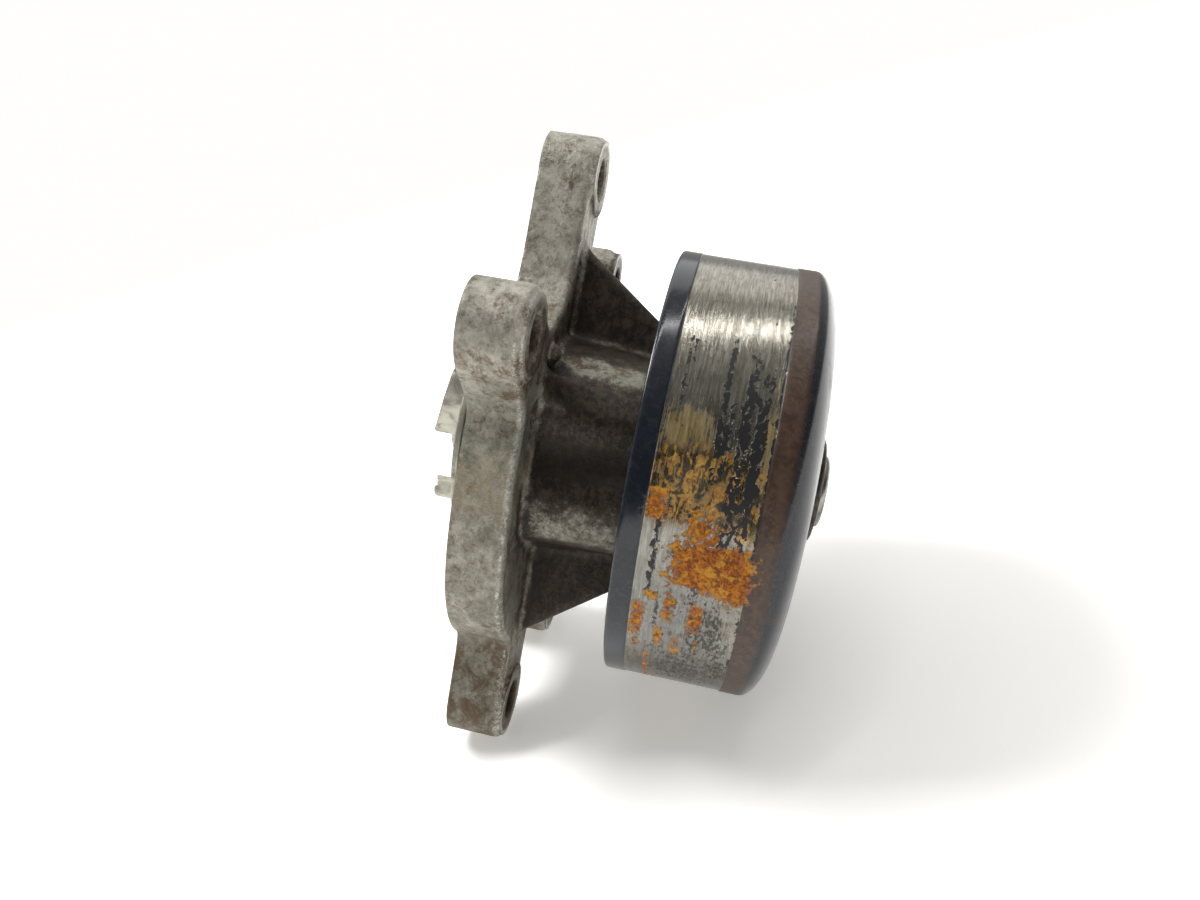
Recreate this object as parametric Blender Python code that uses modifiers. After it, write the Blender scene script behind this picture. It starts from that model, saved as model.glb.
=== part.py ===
"""Automotive water pump: cast housing, sealed shaft bearing, face seal, stamped impeller, drive pulley.

Origin: centre of the mounting face, on the shaft axis. +X runs along the shaft to the pulley,
+Z is up, and the flange lies in the YZ plane. Radii and axial places are in millimetres below.
"""

import math

import bmesh
import bpy

MM = 0.001
GAP = 0.3  # clearance between pieces that touch or turn in each other

# Driving dimensions, millimetres and degrees ---------------------------------------------------
FLANGE_THICK = 12.0
FLANGE_RADIUS = 30.8
LOBE_DISC_RADIUS = 29.8
LOBE_DISC_OFFSET = 17.1
DISC_BLEND = 9.0
OUTLINE_POINTS = 300
BOLT_HOLE_RADIUS = 4.5
BOSS_RADIUS = 8.2

# name, angle from +Y towards +Z, distance from the shaft, ear radius, neck blend, boss face, web crest
EARS = (
    ("top", 66.3, 60.0, 8.9, 16.0, 12.7, 44.6),
    ("side", 129.1, 43.4, 9.6, 7.0, 12.7, 28.5),
    ("front_foot", 250.1, 61.9, 9.1, 9.0, 12.7, 45.3),
    ("rear_foot", 289.9, 61.9, 9.1, 9.0, 12.7, 45.3),
    ("rear", 22.4, 60.2, 8.9, 16.0, 14.2, 44.6),
)
WEB_THICK = 6.0
WEB_RUN_ON = 0.5  # how far a web runs onto the nose
WEB_BURIED = 3.0  # how far a web's foot is sunk in the barrel
WEB_SLOPE = 0.72  # drop of a web's crest for each millimetre along the shaft

BARREL_REAR_RADIUS = 24.5
BARREL_MID_X = 34.0
BARREL_MID_RADIUS = 22.0
NOSE_START_X = 46.0
NOSE_RADIUS = 19.4
NOSE_END_X = 61.5
NOSE_CHAMFER = 1.0
CUT_PAST = 2.0  # how far a cutter runs past the face it opens
CAVITY_LOBE_RADIUS = 10.5
CAVITY_LOBE_FRONT_RADIUS = 9.5
CAVITY_LOBE_DISTANCE = 21.6
CAVITY_LOBE_ANGLE = 199.0
CAVITY_LOBE_END_X = 38.0
WATER_POCKET_RADIUS = 26.0
WATER_POCKET_DEPTH = 1.2
SEAL_BORE_RADIUS = 18.1
SEAL_BORE_END_X = 14.0
CHAMBER_RADIUS = 13.0
WEEP_X = 17.3
WEEP_RADIUS = 2.5
WEEP_START = 40.0

SHAFT_RADIUS = 7.95
SHAFT_FRONT_X = 73.6
SHAFT_REAR_X = -10.0
SHAFT_STEP_X = -1.6
SHAFT_FRONT_CHAMFER = 1.0
SHAFT_REAR_CHAMFER = 0.8
IMPELLER_SEAT_RADIUS = 6.3

BEARING_REAR_X = 20.8
BEARING_LENGTH = 39.0
BEARING_RADIUS = 15.0
BEARING_CHAMFER = 0.5
LIP_SEAL_WIDTH = 1.5
LIP_SEAL_INSET = 0.5
BALL_RADIUS = 2.6
BALLS_PER_ROW = 7
CAGE_RIM = 0.8
CAGE_HALF_THICK = 0.9
BALL_ROWS = (("rear", 29.5), ("front", 51.5))

SEAT_REAR_X = -1.2
SEAT_FRONT_X = 2.3
SEAT_RADIUS = 14.6
SEAT_CUP_WALL = 0.7
CARBON_FRONT_X = 6.2
CARBON_RADIUS = 13.2
SEAL_WALL_GAP = 1.2  # from the shaft's clearance to the bore of the standing seal parts
BELLOWS_FOLD = 1.4
CASE_REAR_X = 2.0
CASE_WALL = 0.8
SPRING_WIRE = 0.6
SPRING_RADIUS = 14.6
SPRING_TURNS = 3.5
SPRING_STEPS = 20
SPRING_OVERLAP = 2.0  # how far the spring reaches back over the carbon ring
SLINGER_HALF = 1.5

PULLEY_RADIUS = 46.5
PULLEY_SHEET = 2.4
PULLEY_REAR_X = 34.5
PULLEY_BAND_X = 38.8
PULLEY_TRACK_END_X = 58.8
PULLEY_SHOULDER_X = 62.7
PULLEY_FRONT_X = 68.3
PULLEY_SHOULDER_WIDTH = 14.2
PULLEY_LIP = 0.4
TRACK_WEAR = 0.15
HUB_RADIUS = 11.6
HUB_FRONT_X = 72.1
HUB_FLANGE_RADIUS = 17.0
HUB_FLANGE_THICK = 2.2
HUB_CHAMFER = 0.6
HUB_REAR_X = 62.2

IMPELLER_RADIUS = 25.0
IMPELLER_SHEET = 1.6
IMPELLER_DISC_X = -3.4
COLLAR_WALL = 1.6
COLLAR_REAR_X = -8.6
VANE_COUNT = 6
VANE_INNER_RADIUS = 13.5
VANE_INNER_X = -11.4
VANE_OUTER_X = -7.0
VANE_SWEEP = -33.0
VANE_PHASE = 162.0
VANE_EDGE = 0.6
VANE_COLUMNS = 8
VANE_CURVE = 1.3  # power that makes a vane bend more towards its tip

RING_STEPS = 40
PULLEY_STEPS = 64
SMOOTH_ANGLE = math.radians(35)
AXIS_TURN = (0.0, math.pi / 2, 0.0)  # turns a lathe's Z axis onto the shaft
FACE_TURN = (math.pi / 2, 0.0, math.pi / 2)  # turns a flat outline onto the flange plane

# Bearing sizes that follow from the above
BALL_PITCH = SHAFT_RADIUS + GAP + BALL_RADIUS
RACE_INNER_RADIUS = BALL_PITCH + BALL_RADIUS + GAP
CASE_FRONT_X = SEAL_BORE_END_X - GAP
BEARING_FRONT_X = BEARING_REAR_X + BEARING_LENGTH
CLEAR_RADIUS = SHAFT_RADIUS + GAP


def clear_scene():
    """Remove every object that the file starts with."""
    for item in list(bpy.data.objects):
        bpy.data.objects.remove(item, do_unlink=True)


def new_collection(name):
    """Make a collection under the scene's own."""
    group = bpy.data.collections.new(name)
    bpy.context.scene.collection.children.link(group)
    return group


def finish(name, colour, roughness, metallic):
    """Make a plain Principled material."""
    material = bpy.data.materials.new(name)
    material.use_nodes = True
    shader = material.node_tree.nodes["Principled BSDF"]
    shader.inputs["Base Color"].default_value = (*colour, 1.0)
    shader.inputs["Roughness"].default_value = roughness
    shader.inputs["Metallic"].default_value = metallic
    return material


def mesh_object(name, mesh, group, material=None):
    """Wrap a mesh in an object of the given collection."""
    item = bpy.data.objects.new(name, mesh)
    group.objects.link(item)
    if material:
        mesh.materials.append(material)
    return item


def make_cutter(item):
    """Mark an object as construction geometry only."""
    item.hide_render = True
    item.display_type = "WIRE"
    return item


def smooth(mesh):
    """Shade round faces smooth and keep real edges sharp."""
    mesh.shade_smooth()
    mesh.set_sharp_from_angle(angle=SMOOTH_ANGLE)


def turned(name, profile, group, material=None, steps=RING_STEPS, closed=False):
    """Turn a profile of (axial place, radius) round the shaft axis; the outer side comes first."""
    mesh = bpy.data.meshes.new(name)
    points = [(radius * MM, 0.0, axial * MM) for axial, radius in profile]
    edges = [(i, i + 1) for i in range(len(points) - 1)]
    if closed:
        edges.append((len(points) - 1, 0))
    mesh.from_pydata(points, edges, [])
    item = mesh_object(name, mesh, group, material)
    item.rotation_euler = AXIS_TURN
    screw = item.modifiers.new("turn", "SCREW")
    screw.axis = "Z"
    screw.angle = 2 * math.pi
    screw.steps = steps
    screw.render_steps = steps
    screw.use_merge_vertices = True
    screw.merge_threshold = 0.00001
    screw.use_smooth_shade = True
    return item


def ring(name, rear, front, inner, outer, group, material, steps=RING_STEPS):
    """Turn a plain square-edged ring."""
    profile = [(front, inner), (front, outer), (rear, outer), (rear, inner)]
    return turned(name, profile, group, material, steps, closed=True)


def plate(name, outline, thickness, group, material=None):
    """Extrude a flat closed outline of (x, y) points and return it as a mesh object."""
    curve = bpy.data.curves.new(name, "CURVE")
    curve.dimensions = "2D"
    curve.fill_mode = "BOTH"
    curve.extrude = thickness * MM / 2
    spline = curve.splines.new("POLY")
    spline.points.add(len(outline) - 1)
    for point, (x, y) in zip(spline.points, outline):
        point.co = (x * MM, y * MM, 0.0, 1.0)
    spline.use_cyclic_u = True
    return curve_to_mesh(name, curve, group, material)


def curve_to_mesh(name, curve, group, material=None):
    """Convert a curve to a welded mesh object and drop the curve."""
    source = bpy.data.objects.new(name + "_curve", curve)
    bpy.context.scene.collection.objects.link(source)
    graph = bpy.context.evaluated_depsgraph_get()
    mesh = bpy.data.meshes.new_from_object(source.evaluated_get(graph))
    mesh.name = name
    welded = bmesh.new()
    welded.from_mesh(mesh)
    bmesh.ops.remove_doubles(welded, verts=welded.verts, dist=0.000002)
    welded.to_mesh(mesh)
    welded.free()
    mesh.materials.clear()
    item = mesh_object(name, mesh, group, material)
    item.matrix_world = source.matrix_world
    bpy.data.objects.remove(source, do_unlink=True)
    return item


def cylinder(name, rear, front, radius, group, y=0.0, z=0.0, steps=32, front_radius=None):
    """Make a cylinder or cone frustum along the shaft direction."""
    mesh = bpy.data.meshes.new(name)
    work = bmesh.new()
    bmesh.ops.create_cone(
        work,
        cap_ends=True,
        segments=steps,
        radius1=radius * MM,
        radius2=(front_radius or radius) * MM,
        depth=(front - rear) * MM,
    )
    work.to_mesh(mesh)
    work.free()
    item = mesh_object(name, mesh, group)
    item.rotation_euler = AXIS_TURN
    item.location = ((front + rear) / 2 * MM, y * MM, z * MM)
    return item


def boolean(item, tool, operation, solver="EXACT"):
    """Join a construction object to, or cut it from, a piece."""
    step = item.modifiers.new(tool.name, "BOOLEAN")
    step.operation = operation
    step.solver = solver
    step.object = tool


def on_circle(angle, radius):
    """Give the (y, z) place at an angle from +Y towards +Z."""
    turn = math.radians(angle)
    return radius * math.cos(turn), radius * math.sin(turn)


# Housing ---------------------------------------------------------------------------------------
def ear_reach(angle, ear_angle, distance, radius):
    """Distance from the shaft to the edge of an ear, which is a strip with a round end."""
    away = math.radians(angle - ear_angle)
    along = math.cos(away)
    across = abs(math.sin(away))
    if along <= 0:
        return radius if across == 0 else min(radius / across, radius)
    side = radius / across if across > 1e-6 else math.inf
    if side * along <= distance:
        return side
    return distance * along + math.sqrt(radius**2 - (distance * across) ** 2)


def disc_reach(angle, centre_angle, offset, radius):
    """Distance from the shaft to the edge of an offset disc."""
    away = math.radians(angle - centre_angle)
    return offset * math.cos(away) + math.sqrt(radius**2 - (offset * math.sin(away)) ** 2)


def blended_max(first, second, width):
    """Larger of two radii, rounded where they are close, as a casting's inner corners are."""
    overlap = max(width - abs(first - second), 0.0) / width
    return max(first, second) + overlap**2 * width / 4


def flange_radius(angle):
    """Radius of the flange's edge at an angle round the shaft."""
    reach = FLANGE_RADIUS
    for centre in (EARS[2][1], EARS[3][1]):
        disc = disc_reach(angle, centre, LOBE_DISC_OFFSET, LOBE_DISC_RADIUS)
        reach = blended_max(reach, disc, DISC_BLEND)
    for _, ear_angle, distance, radius, blend, _, _ in EARS:
        reach = blended_max(reach, ear_reach(angle, ear_angle, distance, radius), blend)
    return reach


def flange_outline():
    """Points round the flange, as (y, z)."""
    points = []
    for i in range(OUTLINE_POINTS):
        angle = 360.0 * i / OUTLINE_POINTS
        points.append(on_circle(angle, flange_radius(angle)))
    return points


def make_web(name, angle, crest, tools):
    """Triangular web that stiffens an ear against the barrel."""
    end = min(NOSE_START_X + WEB_RUN_ON, FLANGE_THICK + (crest - NOSE_RADIUS) / WEB_SLOPE)
    root = FLANGE_THICK / 2
    deep = NOSE_RADIUS - WEB_BURIED
    outline = [
        (root, deep),
        (end, deep),
        (end, crest - WEB_SLOPE * (end - FLANGE_THICK)),
        (FLANGE_THICK, crest),
        (root, crest),
    ]
    web = plate(name, outline, WEB_THICK, tools)
    web.rotation_euler = (math.radians(angle), 0.0, 0.0)
    return make_cutter(web)


def make_housing(group, tools, material):
    """Cast housing: flange, ears, webs, barrel, seal bore and bearing bore in one piece."""
    body = plate("pump_body", flange_outline(), FLANGE_THICK, group, material)
    body.rotation_euler = FACE_TURN
    body.location = (FLANGE_THICK / 2 * MM, 0.0, 0.0)

    barrel_profile = [
        (NOSE_END_X, 0.0),
        (NOSE_END_X, NOSE_RADIUS - NOSE_CHAMFER),
        (NOSE_END_X - NOSE_CHAMFER, NOSE_RADIUS),
        (NOSE_START_X, NOSE_RADIUS),
        (BARREL_MID_X, BARREL_MID_RADIUS),
        (FLANGE_THICK / 2, BARREL_REAR_RADIUS),
        (FLANGE_THICK / 2, 0.0),
    ]
    boolean(body, make_cutter(turned("barrel", barrel_profile, tools, steps=56)), "UNION")

    lobe_y, lobe_z = on_circle(CAVITY_LOBE_ANGLE, CAVITY_LOBE_DISTANCE - CAVITY_LOBE_RADIUS / 2)
    lobe = cylinder(
        "cavity_lobe", FLANGE_THICK / 2, CAVITY_LOBE_END_X, CAVITY_LOBE_RADIUS, tools,
        lobe_y, lobe_z, front_radius=CAVITY_LOBE_FRONT_RADIUS,
    )
    boolean(body, make_cutter(lobe), "UNION")

    for name, angle, distance, _, _, boss_face, crest in EARS:
        y, z = on_circle(angle, distance)
        boss = cylinder(name + "_boss", FLANGE_THICK / 2, boss_face, BOSS_RADIUS, tools, y, z)
        boolean(body, make_cutter(boss), "UNION")
        boolean(body, make_web(name + "_web", angle, crest, tools), "UNION")

    bore_profile = [
        (NOSE_END_X + CUT_PAST, 0.0),
        (NOSE_END_X + CUT_PAST, BEARING_RADIUS + GAP),
        (BEARING_REAR_X - GAP, BEARING_RADIUS + GAP),
        (BEARING_REAR_X - GAP, CHAMBER_RADIUS),
        (SEAL_BORE_END_X, CHAMBER_RADIUS),
        (SEAL_BORE_END_X, SEAL_BORE_RADIUS),
        (WATER_POCKET_DEPTH, SEAL_BORE_RADIUS),
        (WATER_POCKET_DEPTH, WATER_POCKET_RADIUS),
        (-CUT_PAST, WATER_POCKET_RADIUS),
        (-CUT_PAST, 0.0),
    ]
    boolean(body, make_cutter(turned("bores", bore_profile, tools)), "DIFFERENCE")

    for name, angle, distance, _, _, boss_face, _ in EARS:
        y, z = on_circle(angle, distance)
        end = boss_face + CUT_PAST
        hole = cylinder(name + "_hole", -CUT_PAST, end, BOLT_HOLE_RADIUS, tools, y, z, steps=24)
        boolean(body, make_cutter(hole), "DIFFERENCE")

    weep_end = CHAMBER_RADIUS - CUT_PAST
    weep = cylinder("weep_hole", weep_end, WEEP_START, WEEP_RADIUS, tools, steps=16)
    weep.rotation_euler = (0.0, 0.0, 0.0)
    weep.location = (WEEP_X * MM, 0.0, -(WEEP_START + weep_end) / 2 * MM)
    boolean(body, make_cutter(weep), "DIFFERENCE")
    return body


# Bearing ---------------------------------------------------------------------------------------
def make_shaft(group, material):
    """Shaft that is also the bearing's inner race, stepped down for the impeller."""
    profile = [
        (SHAFT_FRONT_X, 0.0),
        (SHAFT_FRONT_X, SHAFT_RADIUS - SHAFT_FRONT_CHAMFER),
        (SHAFT_FRONT_X - SHAFT_FRONT_CHAMFER, SHAFT_RADIUS),
        (SHAFT_STEP_X, SHAFT_RADIUS),
        (SHAFT_STEP_X, IMPELLER_SEAT_RADIUS),
        (SHAFT_REAR_X + SHAFT_REAR_CHAMFER, IMPELLER_SEAT_RADIUS),
        (SHAFT_REAR_X, IMPELLER_SEAT_RADIUS - SHAFT_REAR_CHAMFER),
        (SHAFT_REAR_X, 0.0),
    ]
    return turned("shaft", profile, group, material)


def make_race(group, material):
    """Outer race, pressed into the nose."""
    profile = [
        (BEARING_FRONT_X, RACE_INNER_RADIUS),
        (BEARING_FRONT_X, BEARING_RADIUS - BEARING_CHAMFER),
        (BEARING_FRONT_X - BEARING_CHAMFER, BEARING_RADIUS),
        (BEARING_REAR_X + BEARING_CHAMFER, BEARING_RADIUS),
        (BEARING_REAR_X, BEARING_RADIUS - BEARING_CHAMFER),
        (BEARING_REAR_X, RACE_INNER_RADIUS),
    ]
    return turned("bearing_outer_race", profile, group, material, closed=True)


def ball(name, radius):
    """Make a sphere's mesh."""
    mesh = bpy.data.meshes.new(name)
    work = bmesh.new()
    bmesh.ops.create_uvsphere(work, u_segments=12, v_segments=6, radius=radius * MM)
    work.to_mesh(mesh)
    work.free()
    return mesh


def make_ball_row(row, x, group, tools, ball_material, cage_material):
    """Set one row of balls in the moulded cage that spaces them."""
    pivot = bpy.data.objects.new(row + "_row_axis", None)
    tools.objects.link(pivot)
    pivot.location = (x * MM, 0.0, 0.0)
    cage_half = BALL_RADIUS + GAP + CAGE_RIM
    cage = ring(
        "ball_cage_" + row, -cage_half, cage_half, BALL_PITCH - CAGE_HALF_THICK,
        BALL_PITCH + CAGE_HALF_THICK, group, cage_material,
    )
    cage.parent = pivot
    ball_mesh = ball("bearing_ball", BALL_RADIUS)
    ball_mesh.materials.append(ball_material)
    smooth(ball_mesh)
    pocket_mesh = ball("ball_pocket", BALL_RADIUS + GAP)
    for i in range(BALLS_PER_ROW):
        y, z = on_circle(360.0 * i / BALLS_PER_ROW, BALL_PITCH)
        place = (0.0, y * MM, z * MM)
        rolling = mesh_object(f"ball_{row}_{i + 1}", ball_mesh, group)
        rolling.parent = pivot
        rolling.location = place
        pocket = make_cutter(mesh_object(f"pocket_{row}_{i + 1}", pocket_mesh, tools))
        pocket.parent = pivot
        pocket.location = place
        boolean(cage, pocket, "DIFFERENCE")


def make_bearing(group, tools, steel, bright, rubber, moulded):
    """Double-row water-pump bearing with its two lip seals."""
    make_shaft(group, steel)
    make_race(group, steel)
    seals = (
        ("bearing_seal_rear", BEARING_REAR_X + LIP_SEAL_INSET),
        ("bearing_seal_front", BEARING_FRONT_X - LIP_SEAL_INSET - LIP_SEAL_WIDTH),
    )
    for name, start in seals:
        end = start + LIP_SEAL_WIDTH
        ring(name, start, end, CLEAR_RADIUS, RACE_INNER_RADIUS - GAP, group, rubber)
    for row, x in BALL_ROWS:
        make_ball_row(row, x, group, tools, bright, moulded)


# Face seal -------------------------------------------------------------------------------------
def make_spring(group, material):
    """Coil that pushes the carbon ring against its seat."""
    start = CARBON_FRONT_X - SPRING_OVERLAP + SPRING_WIRE
    end = CASE_FRONT_X - CASE_WALL - GAP - SPRING_WIRE
    count = int(SPRING_TURNS * SPRING_STEPS)
    curve = bpy.data.curves.new("seal_spring", "CURVE")
    curve.dimensions = "3D"
    curve.bevel_depth = SPRING_WIRE * MM
    curve.bevel_resolution = 1
    curve.use_fill_caps = True
    spline = curve.splines.new("POLY")
    spline.points.add(count)
    for i, point in enumerate(spline.points):
        share = i / count
        y, z = on_circle(360.0 * SPRING_TURNS * share, SPRING_RADIUS)
        x = start + (end - start) * share
        point.co = (x * MM, y * MM, z * MM, 1.0)
    return curve_to_mesh("seal_spring", curve, group, material)


def make_face_seal(group, brass, rubber, carbon, ceramic, steel):
    """Mechanical seal: pressed case, bellows, spring and carbon ring, against a ceramic seat."""
    case_radius = SEAL_BORE_RADIUS - GAP
    inner = CLEAR_RADIUS + SEAL_WALL_GAP
    case_profile = [
        (CASE_FRONT_X, inner),
        (CASE_FRONT_X, case_radius),
        (CASE_REAR_X, case_radius),
        (CASE_REAR_X, case_radius - CASE_WALL),
        (CASE_FRONT_X - CASE_WALL, case_radius - CASE_WALL),
        (CASE_FRONT_X - CASE_WALL, inner),
    ]
    turned("seal_case", case_profile, group, brass, closed=True)

    bellows_front = CASE_FRONT_X - CASE_WALL - GAP
    bellows_rear = CARBON_FRONT_X + GAP
    middle = (bellows_front + bellows_rear) / 2
    wall = SEAL_WALL_GAP + 1.0
    bellows_profile = [
        (bellows_front, inner),
        (bellows_front, inner + wall),
        (middle + BELLOWS_FOLD, inner + SEAL_WALL_GAP),
        (middle, inner + wall + SEAL_WALL_GAP),
        (middle - BELLOWS_FOLD, inner + SEAL_WALL_GAP),
        (bellows_rear, inner + wall),
        (bellows_rear, inner),
        (middle - BELLOWS_FOLD, inner),
        (middle, inner + wall),
        (middle + BELLOWS_FOLD, inner),
    ]
    turned("seal_bellows", bellows_profile, group, rubber, closed=True)
    make_spring(group, steel)

    ring("carbon_ring", SEAT_FRONT_X + GAP, CARBON_FRONT_X, inner, CARBON_RADIUS, group, carbon)
    cup_radius = CLEAR_RADIUS + SEAT_CUP_WALL
    ring("seal_seat", SEAT_REAR_X, SEAT_FRONT_X, cup_radius + GAP, SEAT_RADIUS, group, ceramic)
    ring("seat_cup", SEAT_REAR_X, SEAT_FRONT_X - 2 * GAP, CLEAR_RADIUS, cup_radius, group, rubber)

    slinger_front = WEEP_X + SLINGER_HALF
    slinger_rear = WEEP_X - SLINGER_HALF
    rim = CHAMBER_RADIUS - 1.4
    foot = CLEAR_RADIUS + 1.2
    slinger_profile = [
        (slinger_front, CLEAR_RADIUS),
        (slinger_front, foot),
        (slinger_front - 1.2, foot),
        (slinger_rear + 0.8, rim),
        (slinger_rear, rim),
        (slinger_rear, CLEAR_RADIUS),
    ]
    turned("slinger", slinger_profile, group, rubber, closed=True)


# Impeller --------------------------------------------------------------------------------------
def vane_mesh():
    """Centre surface of one swept vane, standing on the disc and lower towards its tip."""
    mesh = bpy.data.meshes.new("vane")
    work = bmesh.new()
    root = IMPELLER_DISC_X + IMPELLER_SHEET / 2
    rows = []
    for i in range(VANE_COLUMNS + 1):
        share = i / VANE_COLUMNS
        radius = VANE_INNER_RADIUS + (IMPELLER_RADIUS - VANE_EDGE - VANE_INNER_RADIUS) * share
        y, z = on_circle(VANE_SWEEP * share**VANE_CURVE, radius)
        tip = VANE_INNER_X + (VANE_OUTER_X - VANE_INNER_X) * share
        low = work.verts.new((root * MM, y * MM, z * MM))
        high = work.verts.new((tip * MM, y * MM, z * MM))
        rows.append((low, high))
    for (low_a, high_a), (low_b, high_b) in zip(rows, rows[1:]):
        work.faces.new((low_a, low_b, high_b, high_a))
    work.to_mesh(mesh)
    work.free()
    return mesh


def make_impeller(group, tools, material):
    """Stamped impeller: dished disc with a drawn collar, and vanes bent up from the sheet."""
    collar = IMPELLER_SEAT_RADIUS + GAP
    front = IMPELLER_DISC_X + IMPELLER_SHEET
    profile = [
        (front, collar),
        (front, IMPELLER_RADIUS),
        (IMPELLER_DISC_X, IMPELLER_RADIUS),
        (IMPELLER_DISC_X, collar + COLLAR_WALL + 1.0),
        (IMPELLER_DISC_X - 1.0, collar + COLLAR_WALL),
        (COLLAR_REAR_X, collar + COLLAR_WALL),
        (COLLAR_REAR_X, collar),
    ]
    impeller = turned("impeller", profile, group, material, closed=True)
    for i in range(VANE_COUNT):
        vane = make_cutter(mesh_object(f"vane_{i + 1}", vane_mesh(), tools))
        vane.rotation_euler = (math.radians(VANE_PHASE + 360.0 * i / VANE_COUNT), 0.0, 0.0)
        sheet = vane.modifiers.new("sheet", "SOLIDIFY")
        sheet.thickness = IMPELLER_SHEET * MM
        sheet.offset = 0.0
        boolean(impeller, vane, "UNION", "MANIFOLD")
    return impeller


# Drive -----------------------------------------------------------------------------------------
def shoulder(inset, front, start, points=6):
    """Quarter ellipse that rounds the pulley's front edge, from its face out to its rim."""
    outer = PULLEY_RADIUS - inset
    width = PULLEY_SHOULDER_WIDTH - inset
    depth = front - start
    arc = []
    for i in range(points):
        turn = math.pi / 2 * i / (points - 1)
        x = start + depth * math.cos(turn)
        arc.append((x, outer - width + width * math.sin(turn)))
    return arc


def make_pulley(group, material):
    """Deep-drawn smooth pulley, driven by the back of the belt."""
    front = shoulder(0.0, PULLEY_FRONT_X, PULLEY_SHOULDER_X)
    inner_start = PULLEY_SHOULDER_X - PULLEY_LIP
    back = shoulder(PULLEY_SHEET, PULLEY_FRONT_X - PULLEY_SHEET, inner_start)
    bore = HUB_RADIUS + GAP
    profile = [(PULLEY_FRONT_X, bore)]
    profile += front
    profile += [
        (PULLEY_TRACK_END_X, PULLEY_RADIUS),
        (PULLEY_TRACK_END_X - PULLEY_LIP, PULLEY_RADIUS - TRACK_WEAR),
        (PULLEY_BAND_X + PULLEY_LIP, PULLEY_RADIUS - TRACK_WEAR),
        (PULLEY_BAND_X, PULLEY_RADIUS),
        (PULLEY_REAR_X + PULLEY_LIP, PULLEY_RADIUS),
        (PULLEY_REAR_X, PULLEY_RADIUS - PULLEY_LIP),
        (PULLEY_REAR_X, PULLEY_RADIUS - PULLEY_SHEET),
    ]
    profile += reversed(back)
    profile.append((PULLEY_FRONT_X - PULLEY_SHEET, bore))
    return turned("pulley", profile, group, material, PULLEY_STEPS, closed=True)


def make_hub(group, material):
    """Pressed hub that carries the pulley."""
    flange_front = PULLEY_FRONT_X - PULLEY_SHEET - GAP
    profile = [
        (HUB_FRONT_X, CLEAR_RADIUS),
        (HUB_FRONT_X, HUB_RADIUS - HUB_CHAMFER),
        (HUB_FRONT_X - HUB_CHAMFER, HUB_RADIUS),
        (flange_front, HUB_RADIUS),
        (flange_front, HUB_FLANGE_RADIUS),
        (flange_front - HUB_FLANGE_THICK, HUB_FLANGE_RADIUS),
        (HUB_REAR_X, HUB_RADIUS),
        (HUB_REAR_X, CLEAR_RADIUS),
    ]
    return turned("pulley_hub", profile, group, material, closed=True)


def main():
    """Build the pump."""
    clear_scene()
    group = new_collection("water_pump")
    tools = new_collection("water_pump_cutters")
    cast = finish("cast_aluminium", (0.42, 0.40, 0.37), 0.6, 0.6)
    steel = finish("ground_steel", (0.55, 0.55, 0.54), 0.3, 1.0)
    bright = finish("ball_steel", (0.75, 0.75, 0.76), 0.12, 1.0)
    zinc = finish("zinc_plated_steel", (0.62, 0.62, 0.60), 0.4, 0.9)
    black = finish("black_coated_steel", (0.03, 0.035, 0.045), 0.3, 0.4)
    rubber = finish("black_rubber", (0.02, 0.02, 0.02), 0.7, 0.0)
    moulded = finish("moulded_cage", (0.55, 0.45, 0.28), 0.45, 0.0)
    brass = finish("seal_brass", (0.68, 0.50, 0.22), 0.35, 1.0)
    carbon = finish("carbon", (0.05, 0.05, 0.05), 0.4, 0.1)
    ceramic = finish("ceramic", (0.85, 0.83, 0.78), 0.25, 0.0)

    make_housing(group, tools, cast)
    make_bearing(group, tools, steel, bright, rubber, moulded)
    make_face_seal(group, brass, rubber, carbon, ceramic, steel)
    make_impeller(group, tools, zinc)
    make_pulley(group, black)
    make_hub(group, steel)


main()
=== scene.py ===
"""Looks of an automotive water pump: worn pulley, cast housing, face seal, bearing and impeller.

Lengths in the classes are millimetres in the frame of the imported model: the origin is the centre of
the mounting face, +X runs along the shaft to the pulley and +Z is up. Angles are degrees from +Y
towards +Z.
"""

import logging
import math
import random
from collections.abc import Callable, Mapping, Sequence
from dataclasses import dataclass
from enum import Enum

import bpy
import numpy as np
from mathutils import Matrix, Vector


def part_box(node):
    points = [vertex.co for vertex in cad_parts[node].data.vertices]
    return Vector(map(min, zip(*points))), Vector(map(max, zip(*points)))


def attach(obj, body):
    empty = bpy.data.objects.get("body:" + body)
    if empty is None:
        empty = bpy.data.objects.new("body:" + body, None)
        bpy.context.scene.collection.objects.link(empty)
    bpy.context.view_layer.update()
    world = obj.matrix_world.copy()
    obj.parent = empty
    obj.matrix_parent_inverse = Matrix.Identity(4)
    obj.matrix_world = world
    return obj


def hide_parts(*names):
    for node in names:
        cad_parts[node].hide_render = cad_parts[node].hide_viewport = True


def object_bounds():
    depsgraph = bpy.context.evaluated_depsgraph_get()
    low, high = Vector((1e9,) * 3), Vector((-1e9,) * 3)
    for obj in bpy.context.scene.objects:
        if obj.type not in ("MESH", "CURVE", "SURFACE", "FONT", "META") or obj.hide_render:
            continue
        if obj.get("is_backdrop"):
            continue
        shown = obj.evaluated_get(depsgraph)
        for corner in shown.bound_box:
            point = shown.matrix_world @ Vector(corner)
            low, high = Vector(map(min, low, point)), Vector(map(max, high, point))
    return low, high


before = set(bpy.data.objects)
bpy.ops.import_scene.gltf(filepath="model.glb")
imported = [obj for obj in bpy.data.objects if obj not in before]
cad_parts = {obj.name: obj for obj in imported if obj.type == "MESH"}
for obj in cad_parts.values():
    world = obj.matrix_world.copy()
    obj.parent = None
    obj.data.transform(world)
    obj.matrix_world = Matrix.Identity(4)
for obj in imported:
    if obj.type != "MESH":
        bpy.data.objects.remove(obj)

MM = 0.001
SHARP_ANGLE = math.radians(34)
LOG = logging.getLogger("water_pump")

Colour = tuple[float, float, float]
Point = tuple[float, float, float]


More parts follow.
